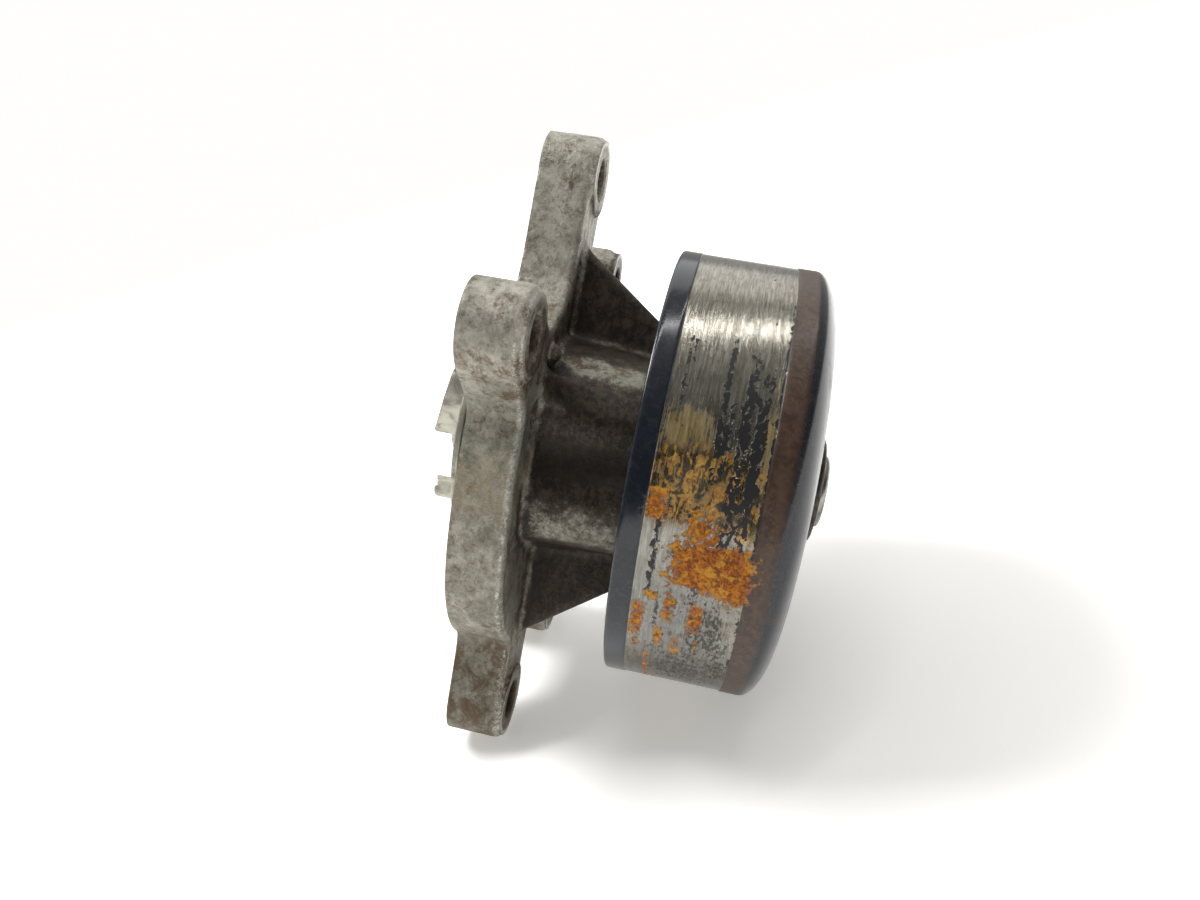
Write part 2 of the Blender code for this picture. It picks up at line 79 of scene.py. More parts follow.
def corners() -> list[list[float]]:
    """Give the shown model's lowest and highest corners, in metres, as plain lists."""
    return [[float(value) for value in corner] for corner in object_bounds()]


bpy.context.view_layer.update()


# Shader expressions ----------------------------------------------------------------------------
class Wire:
    """A node socket's value; arithmetic on it adds Math nodes to the tree it belongs to."""

    def __init__(self, tree: "MaterialTree", socket: bpy.types.NodeSocket) -> None:
        """Wrap an output socket.

        Args:
            tree: The tree that new nodes go to.
            socket: The output that holds the value.
        """
        self.tree = tree
        self.socket = socket

    def _math(self, operation: str, first: "Wire | float", second: "Wire | float") -> "Wire":
        """Add one Math node and give its result."""
        return self.tree.add("ShaderNodeMath", {"operation": operation}, {0: first, 1: second})

    def __add__(self, other: "Wire | float") -> "Wire":
        """Add a value."""
        return self._math("ADD", self, other)

    def __radd__(self, other: float) -> "Wire":
        """Add to a number."""
        return self._math("ADD", other, self)

    def __sub__(self, other: "Wire | float") -> "Wire":
        """Take a value away."""
        return self._math("SUBTRACT", self, other)

    def __rsub__(self, other: float) -> "Wire":
        """Take this from a number."""
        return self._math("SUBTRACT", other, self)

    def __mul__(self, other: "Wire | float") -> "Wire":
        """Multiply by a value."""
        return self._math("MULTIPLY", self, other)

    def __rmul__(self, other: float) -> "Wire":
        """Multiply a number."""
        return self._math("MULTIPLY", other, self)

    def larger(self, other: "Wire | float") -> "Wire":
        """Give the larger of two values."""
        return self._math("MAXIMUM", self, other)

    def smaller(self, other: "Wire | float") -> "Wire":
        """Give the smaller of two values."""
        return self._math("MINIMUM", self, other)

    def rise(self, low: float, high: float) -> "Wire":
        """Turn the value into a smooth step.

        Args:
            low: Value at which the result is 0.
            high: Value at which the result is 1.

        Returns:
            The step, from 0 to 1.
        """
        values = {"Value": self, "From Min": low, "From Max": high}
        return self.tree.add("ShaderNodeMapRange", {"interpolation_type": "SMOOTHSTEP"}, values)


class MaterialTree:
    """A material's node tree while it is being written."""

    def __init__(self, name: str) -> None:
        """Start a material with one Principled shader.

        Args:
            name: The material's name.
        """
        self.material = bpy.data.materials.new(name)
        self.material.use_nodes = True
        self.nodes = self.material.node_tree.nodes
        self.shader = self.nodes["Principled BSDF"]
        place = self.add("ShaderNodeTexCoord", {}, {}, "Object")
        self.place = self.scaled(place, 1.0 / MM)

    def add(
        self, kind: str, settings: Mapping[str, object], values: Mapping[int | str, object],
        output: int | str = 0,
    ) -> Wire:
        """Add a node.

        Args:
            kind: The node's type.
            settings: Its properties; "stops" holds a ramp's (place, colour) pairs.
            values: Number, colour or wire for each input, by name or number.
            output: The output that is wanted.

        Returns:
            The wire from that output.
        """
        node = self.nodes.new(kind)
        for name, setting in settings.items():
            if name == "stops":
                elements = node.color_ramp.elements
                while len(elements) < len(setting):
                    elements.new(1.0)
                for element, (position, colour) in zip(elements, setting):
                    element.position = position
                    element.color = (*colour, 1.0)
            else:
                setattr(node, name, setting)
        for key, value in values.items():
            self.feed(node.inputs[key], value)
        return Wire(self, node.outputs[output])

    def feed(self, socket: bpy.types.NodeSocket, value: object) -> None:
        """Link a wire to an input, or set the input's own value.

        Args:
            socket: The input.
            value: A wire, a number, or a colour or vector of three numbers.
        """
        if isinstance(value, Wire):
            self.material.node_tree.links.new(value.socket, socket)
        elif isinstance(value, tuple) and len(socket.default_value) == len(value) + 1:
            socket.default_value = (*value, 1.0)
        else:
            socket.default_value = value

    def scaled(self, vector: Wire, factor: float) -> Wire:
        """Multiply a vector by a number."""
        return self.add("ShaderNodeVectorMath", {"operation": "SCALE"}, {0: vector, "Scale": factor})

    def stretched(self, vector: Wire, factors: Point) -> Wire:
        """Multiply a vector by three factors, one for each axis."""
        return self.add("ShaderNodeVectorMath", {"operation": "MULTIPLY"}, {0: vector, 1: factors})

    def split(self, vector: Wire) -> tuple[Wire, Wire, Wire]:
        """Give a vector's three parts."""
        first = self.add("ShaderNodeSeparateXYZ", {}, {0: vector})
        outputs = first.socket.node.outputs
        return first, Wire(self, outputs[1]), Wire(self, outputs[2])

    def from_axis(self) -> Wire:
        """Give the distance from the shaft's axis, in millimetres."""
        flat = self.stretched(self.place, (0.0, 1.0, 1.0))
        return self.add("ShaderNodeVectorMath", {"operation": "LENGTH"}, {0: flat}, "Value")

    def noise(
        self, size: float, detail: float = 3.0, rough: float = 0.55, warp: float = 0.0,
        stretch: Point = (1.0, 1.0, 1.0),
    ) -> Wire:
        """Add a noise pattern on the piece.

        Args:
            size: Width of one blotch, in millimetres.
            detail: Number of finer layers.
            rough: Share of each finer layer.
            warp: How far the pattern is stirred.
            stretch: Factors on the three axes; a small factor draws the pattern out that way.

        Returns:
            The pattern, from 0 to 1, mostly near 0.5.
        """
        values = {
            "Vector": self.stretched(self.place, stretch), "Scale": 1.0 / size,
            "Detail": detail, "Roughness": rough, "Distortion": warp,
        }
        return self.add("ShaderNodeTexNoise", {}, values)

    def attribute(self, name: str) -> Wire:
        """Read a number that is stored on the mesh."""
        return self.add("ShaderNodeAttribute", {"attribute_name": name}, {}, "Fac")

    def blend(
        self, share: Wire | float, first: Wire | Colour, second: Wire | Colour, way: str = "MIX"
    ) -> Wire:
        """Mix two colours.

        Args:
            share: Share of the second colour.
            first: Colour at 0.
            second: Colour at 1.
            way: Blend type.

        Returns:
            The mixed colour.
        """
        settings = {"data_type": "RGBA", "blend_type": way}
        return self.add("ShaderNodeMix", settings, {0: share, 6: first, 7: second}, 2)

    def pick(self, share: Wire, first: Wire | float, second: Wire | float) -> Wire:
        """Go from one number to another as the share goes from 0 to 1."""
        return self.add("ShaderNodeMix", {"data_type": "FLOAT"}, {0: share, 2: first, 3: second})

    def bump(self, height: Wire, depth: float, below: Wire | None = None) -> Wire:
        """Turn a height pattern into a normal.

        Args:
            height: The pattern.
            depth: Height of one unit of it, in millimetres.
            below: Normal from a coarser pattern.

        Returns:
            The bent normal.
        """
        values: dict[int | str, object] = {"Height": height, "Distance": depth * MM}
        if below is not None:
            values["Normal"] = below
        return self.add("ShaderNodeBump", {}, values, "Normal")

    def paint(self, **inputs: object) -> bpy.types.Material:
        """Feed the Principled shader.

        Args:
            **inputs: Values by input name, with _ for a space.

        Returns:
            The finished material.
        """
        for name, value in inputs.items():
            words = name.replace("_", " ").title().replace("Ior", "IOR")
            self.feed(self.shader.inputs[words], value)
        return self.material


# Finishes --------------------------------------------------------------------------------------
@dataclass(frozen=True)
class PlainFinish:
    """A finish with grain and blotches that is alike all over a piece.

    Attributes:
        name: Material name.
        light: Colour of the clean parts.
        dark: Colour of the stained parts.
        rough: Middle roughness.
        spread: How much the roughness varies.
        metal: Share of metal.
        grain: Width of the finest pattern, in millimetres.
        blotch: Width of the stains, in millimetres.
        depth: Height of the grain, in millimetres.
        stretch: Factors on the axes that draw the grain out.
    """

    name: str
    light: Colour
    dark: Colour
    rough: float = 0.4
    spread: float = 0.2
    metal: float = 0.0
    grain: float = 0.3
    blotch: float = 4.0
    depth: float = 0.02
    stretch: Point = (1.0, 1.0, 1.0)

    def make(self) -> bpy.types.Material:
        """Write the material."""
        tree = MaterialTree(self.name)
        grain = tree.noise(self.grain, 3.0, 0.6, 0.0, self.stretch)
        stain = tree.noise(self.blotch, 5.0, 0.62, 0.6)
        specks = tree.noise(self.grain * 3.0, 4.0, 0.7)
        share = (stain.rise(0.40, 0.66) * 0.8 + (specks - 0.5) * 0.5).larger(0.0).smaller(1.0)
        colour = tree.blend(share, self.light, self.dark)
        tone = (grain - 0.5) * 0.5 + 0.5
        colour = tree.blend(0.35, colour, tree.blend(tone, (0.0, 0.0, 0.0), (1.0, 1.0, 1.0)), "OVERLAY")
        rough = (self.rough + (grain - 0.5) * self.spread + share * self.spread * 0.6)
        return tree.paint(
            base_color=colour, roughness=rough.larger(0.05).smaller(0.98), metallic=self.metal,
            normal=tree.bump(grain, self.depth, tree.bump(stain, self.depth)),
        )


@dataclass(frozen=True)
class CastFinish:
    """Blasted aluminium casting: mottled, with dirt and painted shade in its corners, soot with painted
    shade on its sheltered side, and bright worn edges with painted highlights.
    """

    name: str = "cast_aluminium"
    clean: Colour = (0.49, 0.465, 0.40)
    dull: Colour = (0.20, 0.175, 0.135)
    stain: Colour = (0.125, 0.078, 0.042)
    soot: Colour = (0.028, 0.023, 0.018)
    # Colour of bright worn metal, also used for painted highlights.
    worn: Colour = (0.74, 0.73, 0.66)
    oil: Colour = (0.020, 0.015, 0.011)
    grime_and_shade: Colour = (0.094, 0.071, 0.050)
    scale: Colour = (0.52, 0.42, 0.27)
    verdigris: Colour = (0.20, 0.212, 0.155)
    grain: float = 0.38
    parting_x: float = 7.2
    parting_width: float = 0.5

    def make(self) -> bpy.types.Material:
        """Write the material; it reads the hollow, edge and soot and shade values stored on the casting,
        which paint dirt and shade in the corners, wear and highlights on the edges, and soot and shade on
        the sheltered side.
        """
        tree = MaterialTree(self.name)
        hollow = tree.attribute("hollow")
        edge = tree.attribute("edge")
        soot = tree.attribute("soot")
        x, _, z = tree.split(tree.place)
        grain = tree.noise(self.grain, 4.0, 0.7)
        sand = tree.noise(0.95, 5.0, 0.74, 0.2)
        mottle = tree.noise(3.2, 8.0, 0.68, 0.4)
        broad = tree.noise(13.0, 4.0, 0.6, 0.5)
        streak = tree.noise(1.7, 6.0, 0.68, 0.2, (0.9, 1.0, 0.45))
        tone = mottle * 0.38 + broad * 0.14 + streak * 0.26 + sand * 0.22 - z * 0.0009
        colour = tree.blend(tone.rise(0.38, 0.61), self.clean, self.dull)
        drift = z + (mottle - 0.5) * 26.0 + (sand - 0.5) * 8.0
        green = drift.rise(4.0, 11.0) * drift.rise(27.0, 20.0) + drift.rise(-12.0, -20.0) * 0.5
        green = green.smaller(1.0)
        green = (green * 0.30 + (broad * mottle * 2.4).rise(0.46, 0.84) * 0.3).smaller(1.0)
        colour = tree.blend(green, colour, self.verdigris)
        warm = tree.noise(4.6, 8.0, 0.74, 0.8) + hollow * 0.14 + (sand - 0.5) * 0.2
        warm = warm + drift.rise(20.0, 24.0) * drift.rise(35.0, 29.0) * 0.10
        warm = warm + drift.rise(-16.0, -58.0) * 0.12
        brown = warm.rise(0.53, 0.70) * 0.84
        colour = tree.blend(brown, colour, self.stain)
        scale = drift.rise(-4.0, 1.0) * drift.rise(11.0, 6.0)
        scale = scale * (sand * 0.5 + grain * 0.5).rise(0.44, 0.56)
        colour = tree.blend(scale * 0.6, colour, self.scale)
        freckle = (sand * 0.6 + grain * 0.4 + (mottle - 0.5) * 0.12).rise(0.54, 0.63) * 0.66
        colour = tree.blend(freckle, colour, self.soot)
        # Painted shade mixed with real oily soot: the stored soot and shade map darkens the sheltered side
        # between the flange and the pulley.
        crust_and_shade = soot * 1.35 + (mottle - 0.5) * 1.2 + (sand - 0.5) * 1.1 - edge * 0.65
        crust_and_shade = crust_and_shade.rise(0.14, 0.74)
        grime_and_shade = tree.blend((streak * 0.5 + sand * 0.5).rise(0.43, 0.60), self.oil, self.grime_and_shade)
        # Painted shade: the deepest part of the map, the valley between the barrel and the lobe, goes near
        # black.
        grime_and_shade = tree.blend(soot.rise(0.82, 1.0) * 0.75, grime_and_shade, self.soot)
        colour = tree.blend(crust_and_shade * 0.96, colour, grime_and_shade)
        # Dirt and painted shade: places that the stored hollow value marks as enclosed, in corners and
        # recesses, go dark.
        dirt_and_corner_shade = (hollow * 1.0 + (mottle - 0.5) * 1.1 + (sand - 0.5) * 0.6).rise(0.38, 1.0)
        colour = tree.blend(dirt_and_corner_shade * 0.92, colour, self.soot)
        # Bright worn edges with painted highlights: exposed edges, ridges and speckles are lightened.
        edge_wear_and_glint = grain * 0.5 + sand * 0.5 + edge * 0.44 - hollow * 0.2 - soot * 0.06
        edge_wear_and_glint = edge_wear_and_glint.rise(0.57, 0.72)
        colour = tree.blend(edge_wear_and_glint * (0.66 - crust_and_shade * 0.30), colour, self.worn)
        off_line = (x - self.parting_x) * (1.0 / self.parting_width)
        line = (1.0 - off_line * off_line).larger(0.0) * mottle.rise(0.42, 0.62)
        rough = 0.54 + (grain - 0.5) * 0.4 + dirt_and_corner_shade * 0.14 - edge_wear_and_glint * 0.18 - crust_and_shade * 0.14
        skin = grain * 0.55 + sand * 0.75 + line * 0.4
        return tree.paint(
            base_color=colour, roughness=rough.larger(0.28).smaller(0.95),
            metallic=(0.40 - dirt_and_corner_shade * 0.36).larger(0.0),
            normal=tree.bump(skin, 0.17, tree.bump(mottle + streak * 0.4, 0.22)),
            specular_ior_level=0.35,
        )


@dataclass(frozen=True)
class MachinedFinish:
    """Cut aluminium with the fine arcs of the tool, clouded by coolant scale."""

    name: str = "machined_aluminium"
    bright: Colour = (0.74, 0.74, 0.72)
    cloud: Colour = (0.38, 0.37, 0.33)
    feed: float = 0.35

    def make(self) -> bpy.types.Material:
        """Write the material."""
        tree = MaterialTree(self.name)
        x, _, _ = tree.split(tree.place)
        radius = tree.from_axis()
        across = tree.add("ShaderNodeCombineXYZ", {}, {0: x, 1: radius})
        marks = tree.add(
            "ShaderNodeTexNoise", {}, {"Vector": across, "Scale": 1.0 / self.feed, "Detail": 2.0}
        )
        stain = tree.noise(3.4, 6.0, 0.68, 0.7)
        share = (stain + (marks - 0.5) * 0.25).rise(0.44, 0.72)
        colour = tree.blend(share, self.bright, self.cloud)
        nicks = tree.noise(0.8, 3.0, 0.75).rise(0.68, 0.76)
        colour = tree.blend(nicks * 0.8, colour, (0.06, 0.055, 0.045))
        return tree.paint(
            base_color=colour, roughness=0.3 + share * 0.3 + nicks * 0.2, metallic=0.9 - share * 0.35,
            normal=tree.bump(marks + nicks * 0.4, 0.035),
        )


@dataclass(frozen=True)
class PulleyFinish:
    """Black coated pulley whose belt track is rubbed to bare, rusting steel.

    Attributes:
        name: Material name.
        band_x: Where the track starts.
        track_end_x: Where it ends.
        shoulder_x: Where the rounded shoulder starts.
        skin_radius: Radius above which the surface is the outer one.
    """

    name: str
    band_x: float
    track_end_x: float
    shoulder_x: float
    skin_radius: float

    def steel(self, tree: MaterialTree, fine: Wire, broad: Wire) -> Wire:
        """Give the rubbed steel's colour, drawn out round the pulley."""
        colour = tree.blend(broad.rise(0.36, 0.64), (0.19, 0.178, 0.147), (0.33, 0.315, 0.27))
        colour = tree.blend(fine.rise(0.54, 0.74) * 0.5, colour, (0.50, 0.49, 0.44))
        colour = tree.blend(fine.rise(0.47, 0.30) * 0.7, colour, (0.09, 0.08, 0.06))
        speck = tree.noise(0.5, 3.0, 0.75, 0.0, (1.0, 0.45, 0.45))
        colour = tree.blend(speck.rise(0.60, 0.70) * 0.55, colour, (0.06, 0.052, 0.04))
        blotch = tree.noise(2.2, 6.0, 0.7, 0.4)
        colour = tree.blend(blotch.rise(0.50, 0.7) * 0.5, colour, (0.13, 0.105, 0.07))
        blue = tree.attribute("blue")
        colour = tree.blend(blue * 0.6, colour, (0.20, 0.215, 0.225))
        dull = tree.attribute("tarnish") + (broad - 0.5) * 1.6 + (blotch - 0.5) * 0.8
        dull = dull.rise(0.35, 0.75)
        return tree.blend(dull * 0.85, colour, (0.075, 0.062, 0.046))

    def make(self) -> bpy.types.Material:
        """Write the material; it reads the stains that are stored on the pulley."""
        tree = MaterialTree(self.name)
        x, _, _ = tree.split(tree.place)
        radius = tree.from_axis()
        around = (1.0, 0.045, 0.045)
        fine = tree.noise(0.15, 3.0, 0.72, 0.0, around)
        broad = tree.noise(0.55, 4.0, 0.7, 0.0, (1.0, 0.10, 0.10))
        ragged = tree.noise(0.85, 5.0, 0.72, 0.5)
        drawn = tree.noise(0.62, 4.0, 0.72, 0.3, (1.0, 0.5, 0.5))
        coarse = tree.noise(2.4, 5.0, 0.68, 0.8)

        colour = self.steel(tree, fine, broad)
        patch = (tree.attribute("patch") + (drawn - 0.5) * 1.5).rise(0.52, 0.64)
        colour = tree.blend(patch * 0.9, colour, (0.046, 0.043, 0.036))
        chunk = tree.noise(1.0, 4.0, 0.62, 0.5, (1.0, 0.62, 0.62))
        ochre = tree.attribute("ochre") + (coarse - 0.5) * 0.9 + (fine - 0.5) * 0.6
        ochre = (ochre + (broad - 0.5) * 0.8).rise(0.30, 0.72)
        gold = tree.blend(broad.rise(0.35, 0.65), (0.17, 0.115, 0.036), (0.36, 0.265, 0.105))
        colour = tree.blend(ochre * (0.85 - patch * 0.5), colour, gold)

        zone = (tree.attribute("vein") * 1.3 + (coarse - 0.5) * 0.9).rise(0.35, 0.85)
        scale = tree.blend(ragged.rise(0.42, 0.58), (0.46, 0.165, 0.020), (0.54, 0.33, 0.075))
        veined = zone * (coarse * 0.5 + ragged * 0.5).rise(0.40, 0.54)
        island = zone * tree.noise(1.45, 4.0, 0.6, 0.7, (1.0, 0.6, 0.6)).rise(0.49, 0.54)
        rust = tree.attribute("rust") + (ragged - 0.5) * 1.0 + (coarse - 0.5) * 1.3
        rust = rust.rise(0.42, 0.56)
        colour = tree.blend(veined * (1.0 - rust) * 0.9, colour, scale)
        colour = tree.blend(island * (1.0 - rust) * 0.92, colour, (0.050, 0.047, 0.032))
        fire = tree.blend(ragged.rise(0.40, 0.60), (0.20, 0.046, 0.006), (0.52, 0.155, 0.009))
        fire = tree.blend(coarse.rise(0.49, 0.62) * 0.75, fire, (0.64, 0.33, 0.028))
        scab = tree.noise(0.95, 5.0, 0.70, 0.5).rise(0.51, 0.61) * 0.8
        fire = tree.blend(scab, fire, (0.10, 0.028, 0.009))
        colour = tree.blend(rust, colour, fire)

        fleck = (tree.attribute("fleck") * 1.25 + (chunk - 0.5) * 2.5).rise(0.47, 0.51)
        fleck = fleck * (1.0 - rust)
        colour = tree.blend(fleck, colour, (0.010, 0.010, 0.011))

        wander = (drawn - 0.5) * 0.5
        ahead = (x + wander * 0.25).rise(self.track_end_x - 0.12, self.track_end_x + 0.02)
        behind = (x + wander * 0.15).rise(self.band_x + 0.10, self.band_x - 0.02)
        inside = radius.rise(self.skin_radius, self.skin_radius - 0.8)
        coated = ahead.larger(behind).larger(inside)
        primer = tree.blend(coarse.rise(0.35, 0.65), (0.040, 0.022, 0.014), (0.080, 0.047, 0.031))
        bloom = tree.attribute("bloom") * ragged.rise(0.46, 0.66) * 0.6
        primer = tree.blend(bloom, primer, (0.20, 0.09, 0.03))
        gloss = tree.blend(coarse.rise(0.4, 0.7), (0.011, 0.014, 0.021), (0.020, 0.024, 0.031))
        shoulder = (x + (coarse - 0.5) * 1.6).rise(self.shoulder_x - 0.9, self.shoulder_x + 1.5)
        primed = ahead * (1.0 - shoulder)
        coat = tree.blend(primed, gloss, primer)
        film = tree.noise(7.0, 6.0, 0.7, 0.6).rise(0.50, 0.68) * shoulder * 0.5
        coat = tree.blend(film, coat, (0.046, 0.040, 0.032))
        dust = (tree.noise(0.42, 2.0, 0.8).rise(0.66, 0.74) * 0.5).larger(0.0)
        coat = tree.blend(dust * (0.25 + shoulder * 0.5), coat, (0.30, 0.27, 0.21))
        stray = (rust * tree.attribute("rust") * 1.4).smaller(1.0)
        coat = tree.blend(stray * primed, coat, fire)
        colour = tree.blend(coated, colour, coat)

        bare_rough = 0.21 + (fine - 0.5) * 0.24 + ochre * 0.26
        bare_rough = tree.pick(patch, bare_rough, 0.52)
        bare_rough = tree.pick(rust, bare_rough, 0.88)
        bare_rough = tree.pick(fleck, bare_rough, 0.5)
        coat_rough = 0.17 + primed * 0.24 + dust * 0.3 + film * 0.3 + (coarse - 0.5) * 0.1
        rough = tree.pick(coated, bare_rough, coat_rough)
        metal = (0.88 - ochre * 0.45 - patch * 0.5) * (1.0 - rust) * (1.0 - fleck)
        metal = (metal * (1.0 - coated)).larger(0.0).smaller(1.0)
        step = fleck * 0.9 + rust * (0.6 + ragged * 1.4) + coated * 0.9 + patch * 0.25
        scratches = tree.bump((fine + broad * 0.15) * (1.0 - coated), 0.008)
        return tree.paint(
            base_color=colour, roughness=rough.larger(0.08).smaller(0.95), metallic=metal,
            normal=tree.bump(step, 0.055, tree.bump(dust * 0.4 + coarse * 0.2, 0.03, scratches)),
        )


class FinishKind(Enum):
    """Finishes of the pieces that need no stored values."""

    MACHINED = MachinedFinish()
    GROUND_STEEL = PlainFinish(
        "ground_steel", (0.40, 0.385, 0.35), (0.17, 0.145, 0.11), 0.30, 0.16, 1.0, 0.16, 5.0, 0.008,
        (1.0, 0.08, 0.08),
    )
    BALL_STEEL = PlainFinish(
        "polished_ball_steel", (0.78, 0.78, 0.79), (0.60, 0.58, 0.55), 0.09, 0.05, 1.0, 0.4, 3.0, 0.001,
    )
    HUB_STEEL = PlainFinish(
        "turned_hub_steel", (0.085, 0.076, 0.066), (0.035, 0.025, 0.017), 0.42, 0.25, 0.6, 0.22, 3.0, 0.012,
        (1.0, 0.12, 0.12),
    )
    ZINC_SHEET = PlainFinish(
        "zinc_plated_sheet", (0.50, 0.485, 0.415), (0.22, 0.20, 0.155), 0.42, 0.25, 0.75, 0.35, 4.5, 0.02,
    )
    RUBBER = PlainFinish(
        "black_rubber", (0.022, 0.022, 0.023), (0.045, 0.042, 0.038), 0.62, 0.25, 0.0, 0.25, 3.0, 0.015,
    )
    BRASS_CASE = PlainFinish(
        "drawn_brass_case", (0.62, 0.45, 0.19), (0.33, 0.21, 0.08), 0.3, 0.2, 1.0, 0.22, 3.5, 0.01,
        (0.15, 1.0, 1.0),
    )
    SPRING_STEEL = PlainFinish(
        "spring_wire", (0.50, 0.49, 0.47), (0.26, 0.22, 0.17), 0.3, 0.2, 1.0, 0.12, 1.5, 0.006,
    )
    CARBON = PlainFinish(
        "lapped_carbon", (0.040, 0.040, 0.042), (0.065, 0.063, 0.060), 0.33, 0.15, 0.1, 0.15, 1.2, 0.006,
    )
    CERAMIC = PlainFinish(
        "ceramic_seat", (0.80, 0.78, 0.72), (0.62, 0.58, 0.50), 0.22, 0.12, 0.0, 0.3, 2.5, 0.004,
    )
    MOULDED_CAGE = PlainFinish(
        "moulded_cage", (0.46, 0.36, 0.20), (0.34, 0.25, 0.13), 0.48, 0.2, 0.0, 0.2, 2.0, 0.012,
        (0.3, 1.0, 1.0),
    )


class FinishBook:
    """Makes each finish once and hands it out again."""

    def __init__(self) -> None:
        """Start with no material made."""
        self.made: dict[FinishKind, bpy.types.Material] = {}

    def take(self, kind: FinishKind) -> bpy.types.Material:
        """Give the material of a finish, which is made the first time."""
        if kind not in self.made:
            self.made[kind] = kind.value.make()
        return self.made[kind]


# Meshes ----------------------------------------------------------------------------------------
def on_circle(angle: float, radius: float) -> tuple[float, float]:
    """Give the (y, z) place at an angle round the shaft."""
    turn = math.radians(angle)
    return radius * math.cos(turn), radius * math.sin(turn)


def new_mesh(name: str, points: np.ndarray, faces: Sequence[Sequence[int]]) -> bpy.types.Mesh:
    """Make a mesh from points in millimetres, with its faces turned outwards.

    Args:
        name: The mesh's name.
        points: One row of x, y and z for each vertex.
        faces: Vertex numbers of each face, all wound the same way.

    Returns:
        The mesh, in metres.
    """
    mesh = bpy.data.meshes.new(name)
    mesh.from_pydata((points * MM).tolist(), [], [list(face) for face in faces])
    if signed_volume(mesh) < 0.0:
        mesh.flip_normals()
    return mesh


def signed_volume(mesh: bpy.types.Mesh) -> float:
    """Give the volume inside a closed mesh, below zero where its faces point inwards."""
    mesh.calc_loop_triangles()
    places = vertex_places(mesh)
    corner = np.empty(len(mesh.loop_triangles) * 3, np.int32)
    mesh.loop_triangles.foreach_get("vertices", corner)
    a, b, c = places[corner.reshape(-1, 3)].transpose(1, 0, 2)
    return float(np.einsum("ij,ij->i", a, np.cross(b, c)).sum() / 6.0)


def vertex_places(mesh: bpy.types.Mesh) -> np.ndarray:
    """Give a mesh's vertices in metres, one row each."""
    places = np.empty(len(mesh.vertices) * 3)
    mesh.vertices.foreach_get("co", places)
    return places.reshape(-1, 3)


def store(mesh: bpy.types.Mesh, name: str, values: np.ndarray) -> None:
    """Store one number for each vertex."""
    attribute = mesh.attributes.new(name, "FLOAT", "POINT")
    attribute.data.foreach_set("value", values.astype(np.float32))


def show(mesh: bpy.types.Mesh, *materials: bpy.types.Material) -> bpy.types.Object:
    """Put a finished mesh in the scene as a piece with its materials."""
    piece = bpy.data.objects.new(mesh.name, mesh)
    bpy.context.scene.collection.objects.link(piece)
    mesh.materials.clear()
    for material in materials:
        mesh.materials.append(material)
    return piece


def settle(piece: bpy.types.Object, body: str, slot: str, *nodes: str) -> None:
    """Hand a piece to the frame.

    Args:
        piece: The finished piece.
        body: The body that it moves with.
        slot: Not used.
        *nodes: The CAD nodes that it stands for.
    """
    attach(piece, body)
    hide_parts(*nodes)
    LOG.info("%s on %s: %d faces", piece.name, body, len(piece.data.polygons))


Corner = tuple[float, float] | tuple[float, float, float]


@dataclass(frozen=True)
class TurnedShape:
    """A profile of (axial place, radius, corner rounding) that is turned round the shaft.

    Attributes:
        name: Name of the mesh.
        corners: The profile's corners; the rounding may be left out.
        closed: Whether the profile is a loop; an open one ends on the axis.
        steps: Number of steps round.
        pitch: Longest step along the profile.
        arc: Number of steps in each rounded corner.
    """

    name: str
    corners: tuple[Corner, ...]
    closed: bool = True
    steps: int = 128
    pitch: float = 2.0
    arc: int = 4

    def rounded(self) -> list[np.ndarray]:
        """Give the profile with its corners rounded."""
        places = [np.array(corner[:2], float) for corner in self.corners]
        count = len(places)
        line = []
        for i, corner in enumerate(self.corners):
            size = corner[2] if len(corner) > 2 else 0.0
            before, here, after = places[i - 1], places[i], places[(i + 1) % count]
            if size <= 0.0:
                line.append(here)
                continue
            back, ahead = before - here, after - here
            back_length, ahead_length = np.linalg.norm(back), np.linalg.norm(ahead)
            back, ahead = back / back_length, ahead / ahead_length
            reach = min(size, 0.48 * back_length, 0.48 * ahead_length)
            for step in range(self.arc + 1):
                share = step / self.arc
                pull = here * 2.0 * share * (1.0 - share)
                start = (here + back * reach) * (1.0 - share) ** 2
                line.append(start + pull + (here + ahead * reach) * share**2)
        return line

    def profile(self) -> list[np.ndarray]:
        """Give the rounded profile with its long steps cut up."""
        line = self.rounded()
        ends = line[1:] + (line[:1] if self.closed else [])
        cut = []
        for start, end in zip(line, ends):
            pieces = max(1, math.ceil(np.linalg.norm(end - start) / self.pitch))
            cut += [start + (end - start) * i / pieces for i in range(pieces)]
        return cut if self.closed else cut + [line[-1]]

    def mesh(self) -> bpy.types.Mesh:
        """Turn the profile into a closed mesh."""
        turns = 2.0 * math.pi * np.arange(self.steps) / self.steps
        rings, points, total = [], [], 0
        for x, radius in self.profile():
            count = self.steps if radius > 1e-6 else 1
            ring = np.column_stack(
                [np.full(count, x), radius * np.cos(turns[:count]), radius * np.sin(turns[:count])]
            )
            points.append(ring)
            rings.append((total, count))
            total += count
        pairs = list(zip(rings, rings[1:] + (rings[:1] if self.closed else [])))
        faces = []
        for (first, first_count), (second, second_count) in pairs[: len(rings) - (not self.closed)]:
            for i in range(self.steps):
                j = (i + 1) % self.steps
                if first_count == 1:
                    faces.append((first, second + j, second + i))
                elif second_count == 1:
                    faces.append((first + i, first + j, second))
                else:
                    faces.append((first + i, first + j, second + j, second + i))
        mesh = new_mesh(self.name, np.vstack(points), faces)
        mesh.shade_smooth()
        mesh.set_sharp_from_angle(angle=SHARP_ANGLE)
        return mesh


@dataclass(frozen=True)
class Extent:
    """Where a turned CAD node lies.

    Attributes:
        rear: Its lowest axial place.
        front: Its highest axial place.
        radius: Its outer radius.
    """

    rear: float
    front: float
    radius: float

    @classmethod
    def of(cls, node: str) -> "Extent":
        """Read a node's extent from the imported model."""
        low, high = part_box(node)
        return cls(low.x / MM, high.x / MM, high.z / MM)


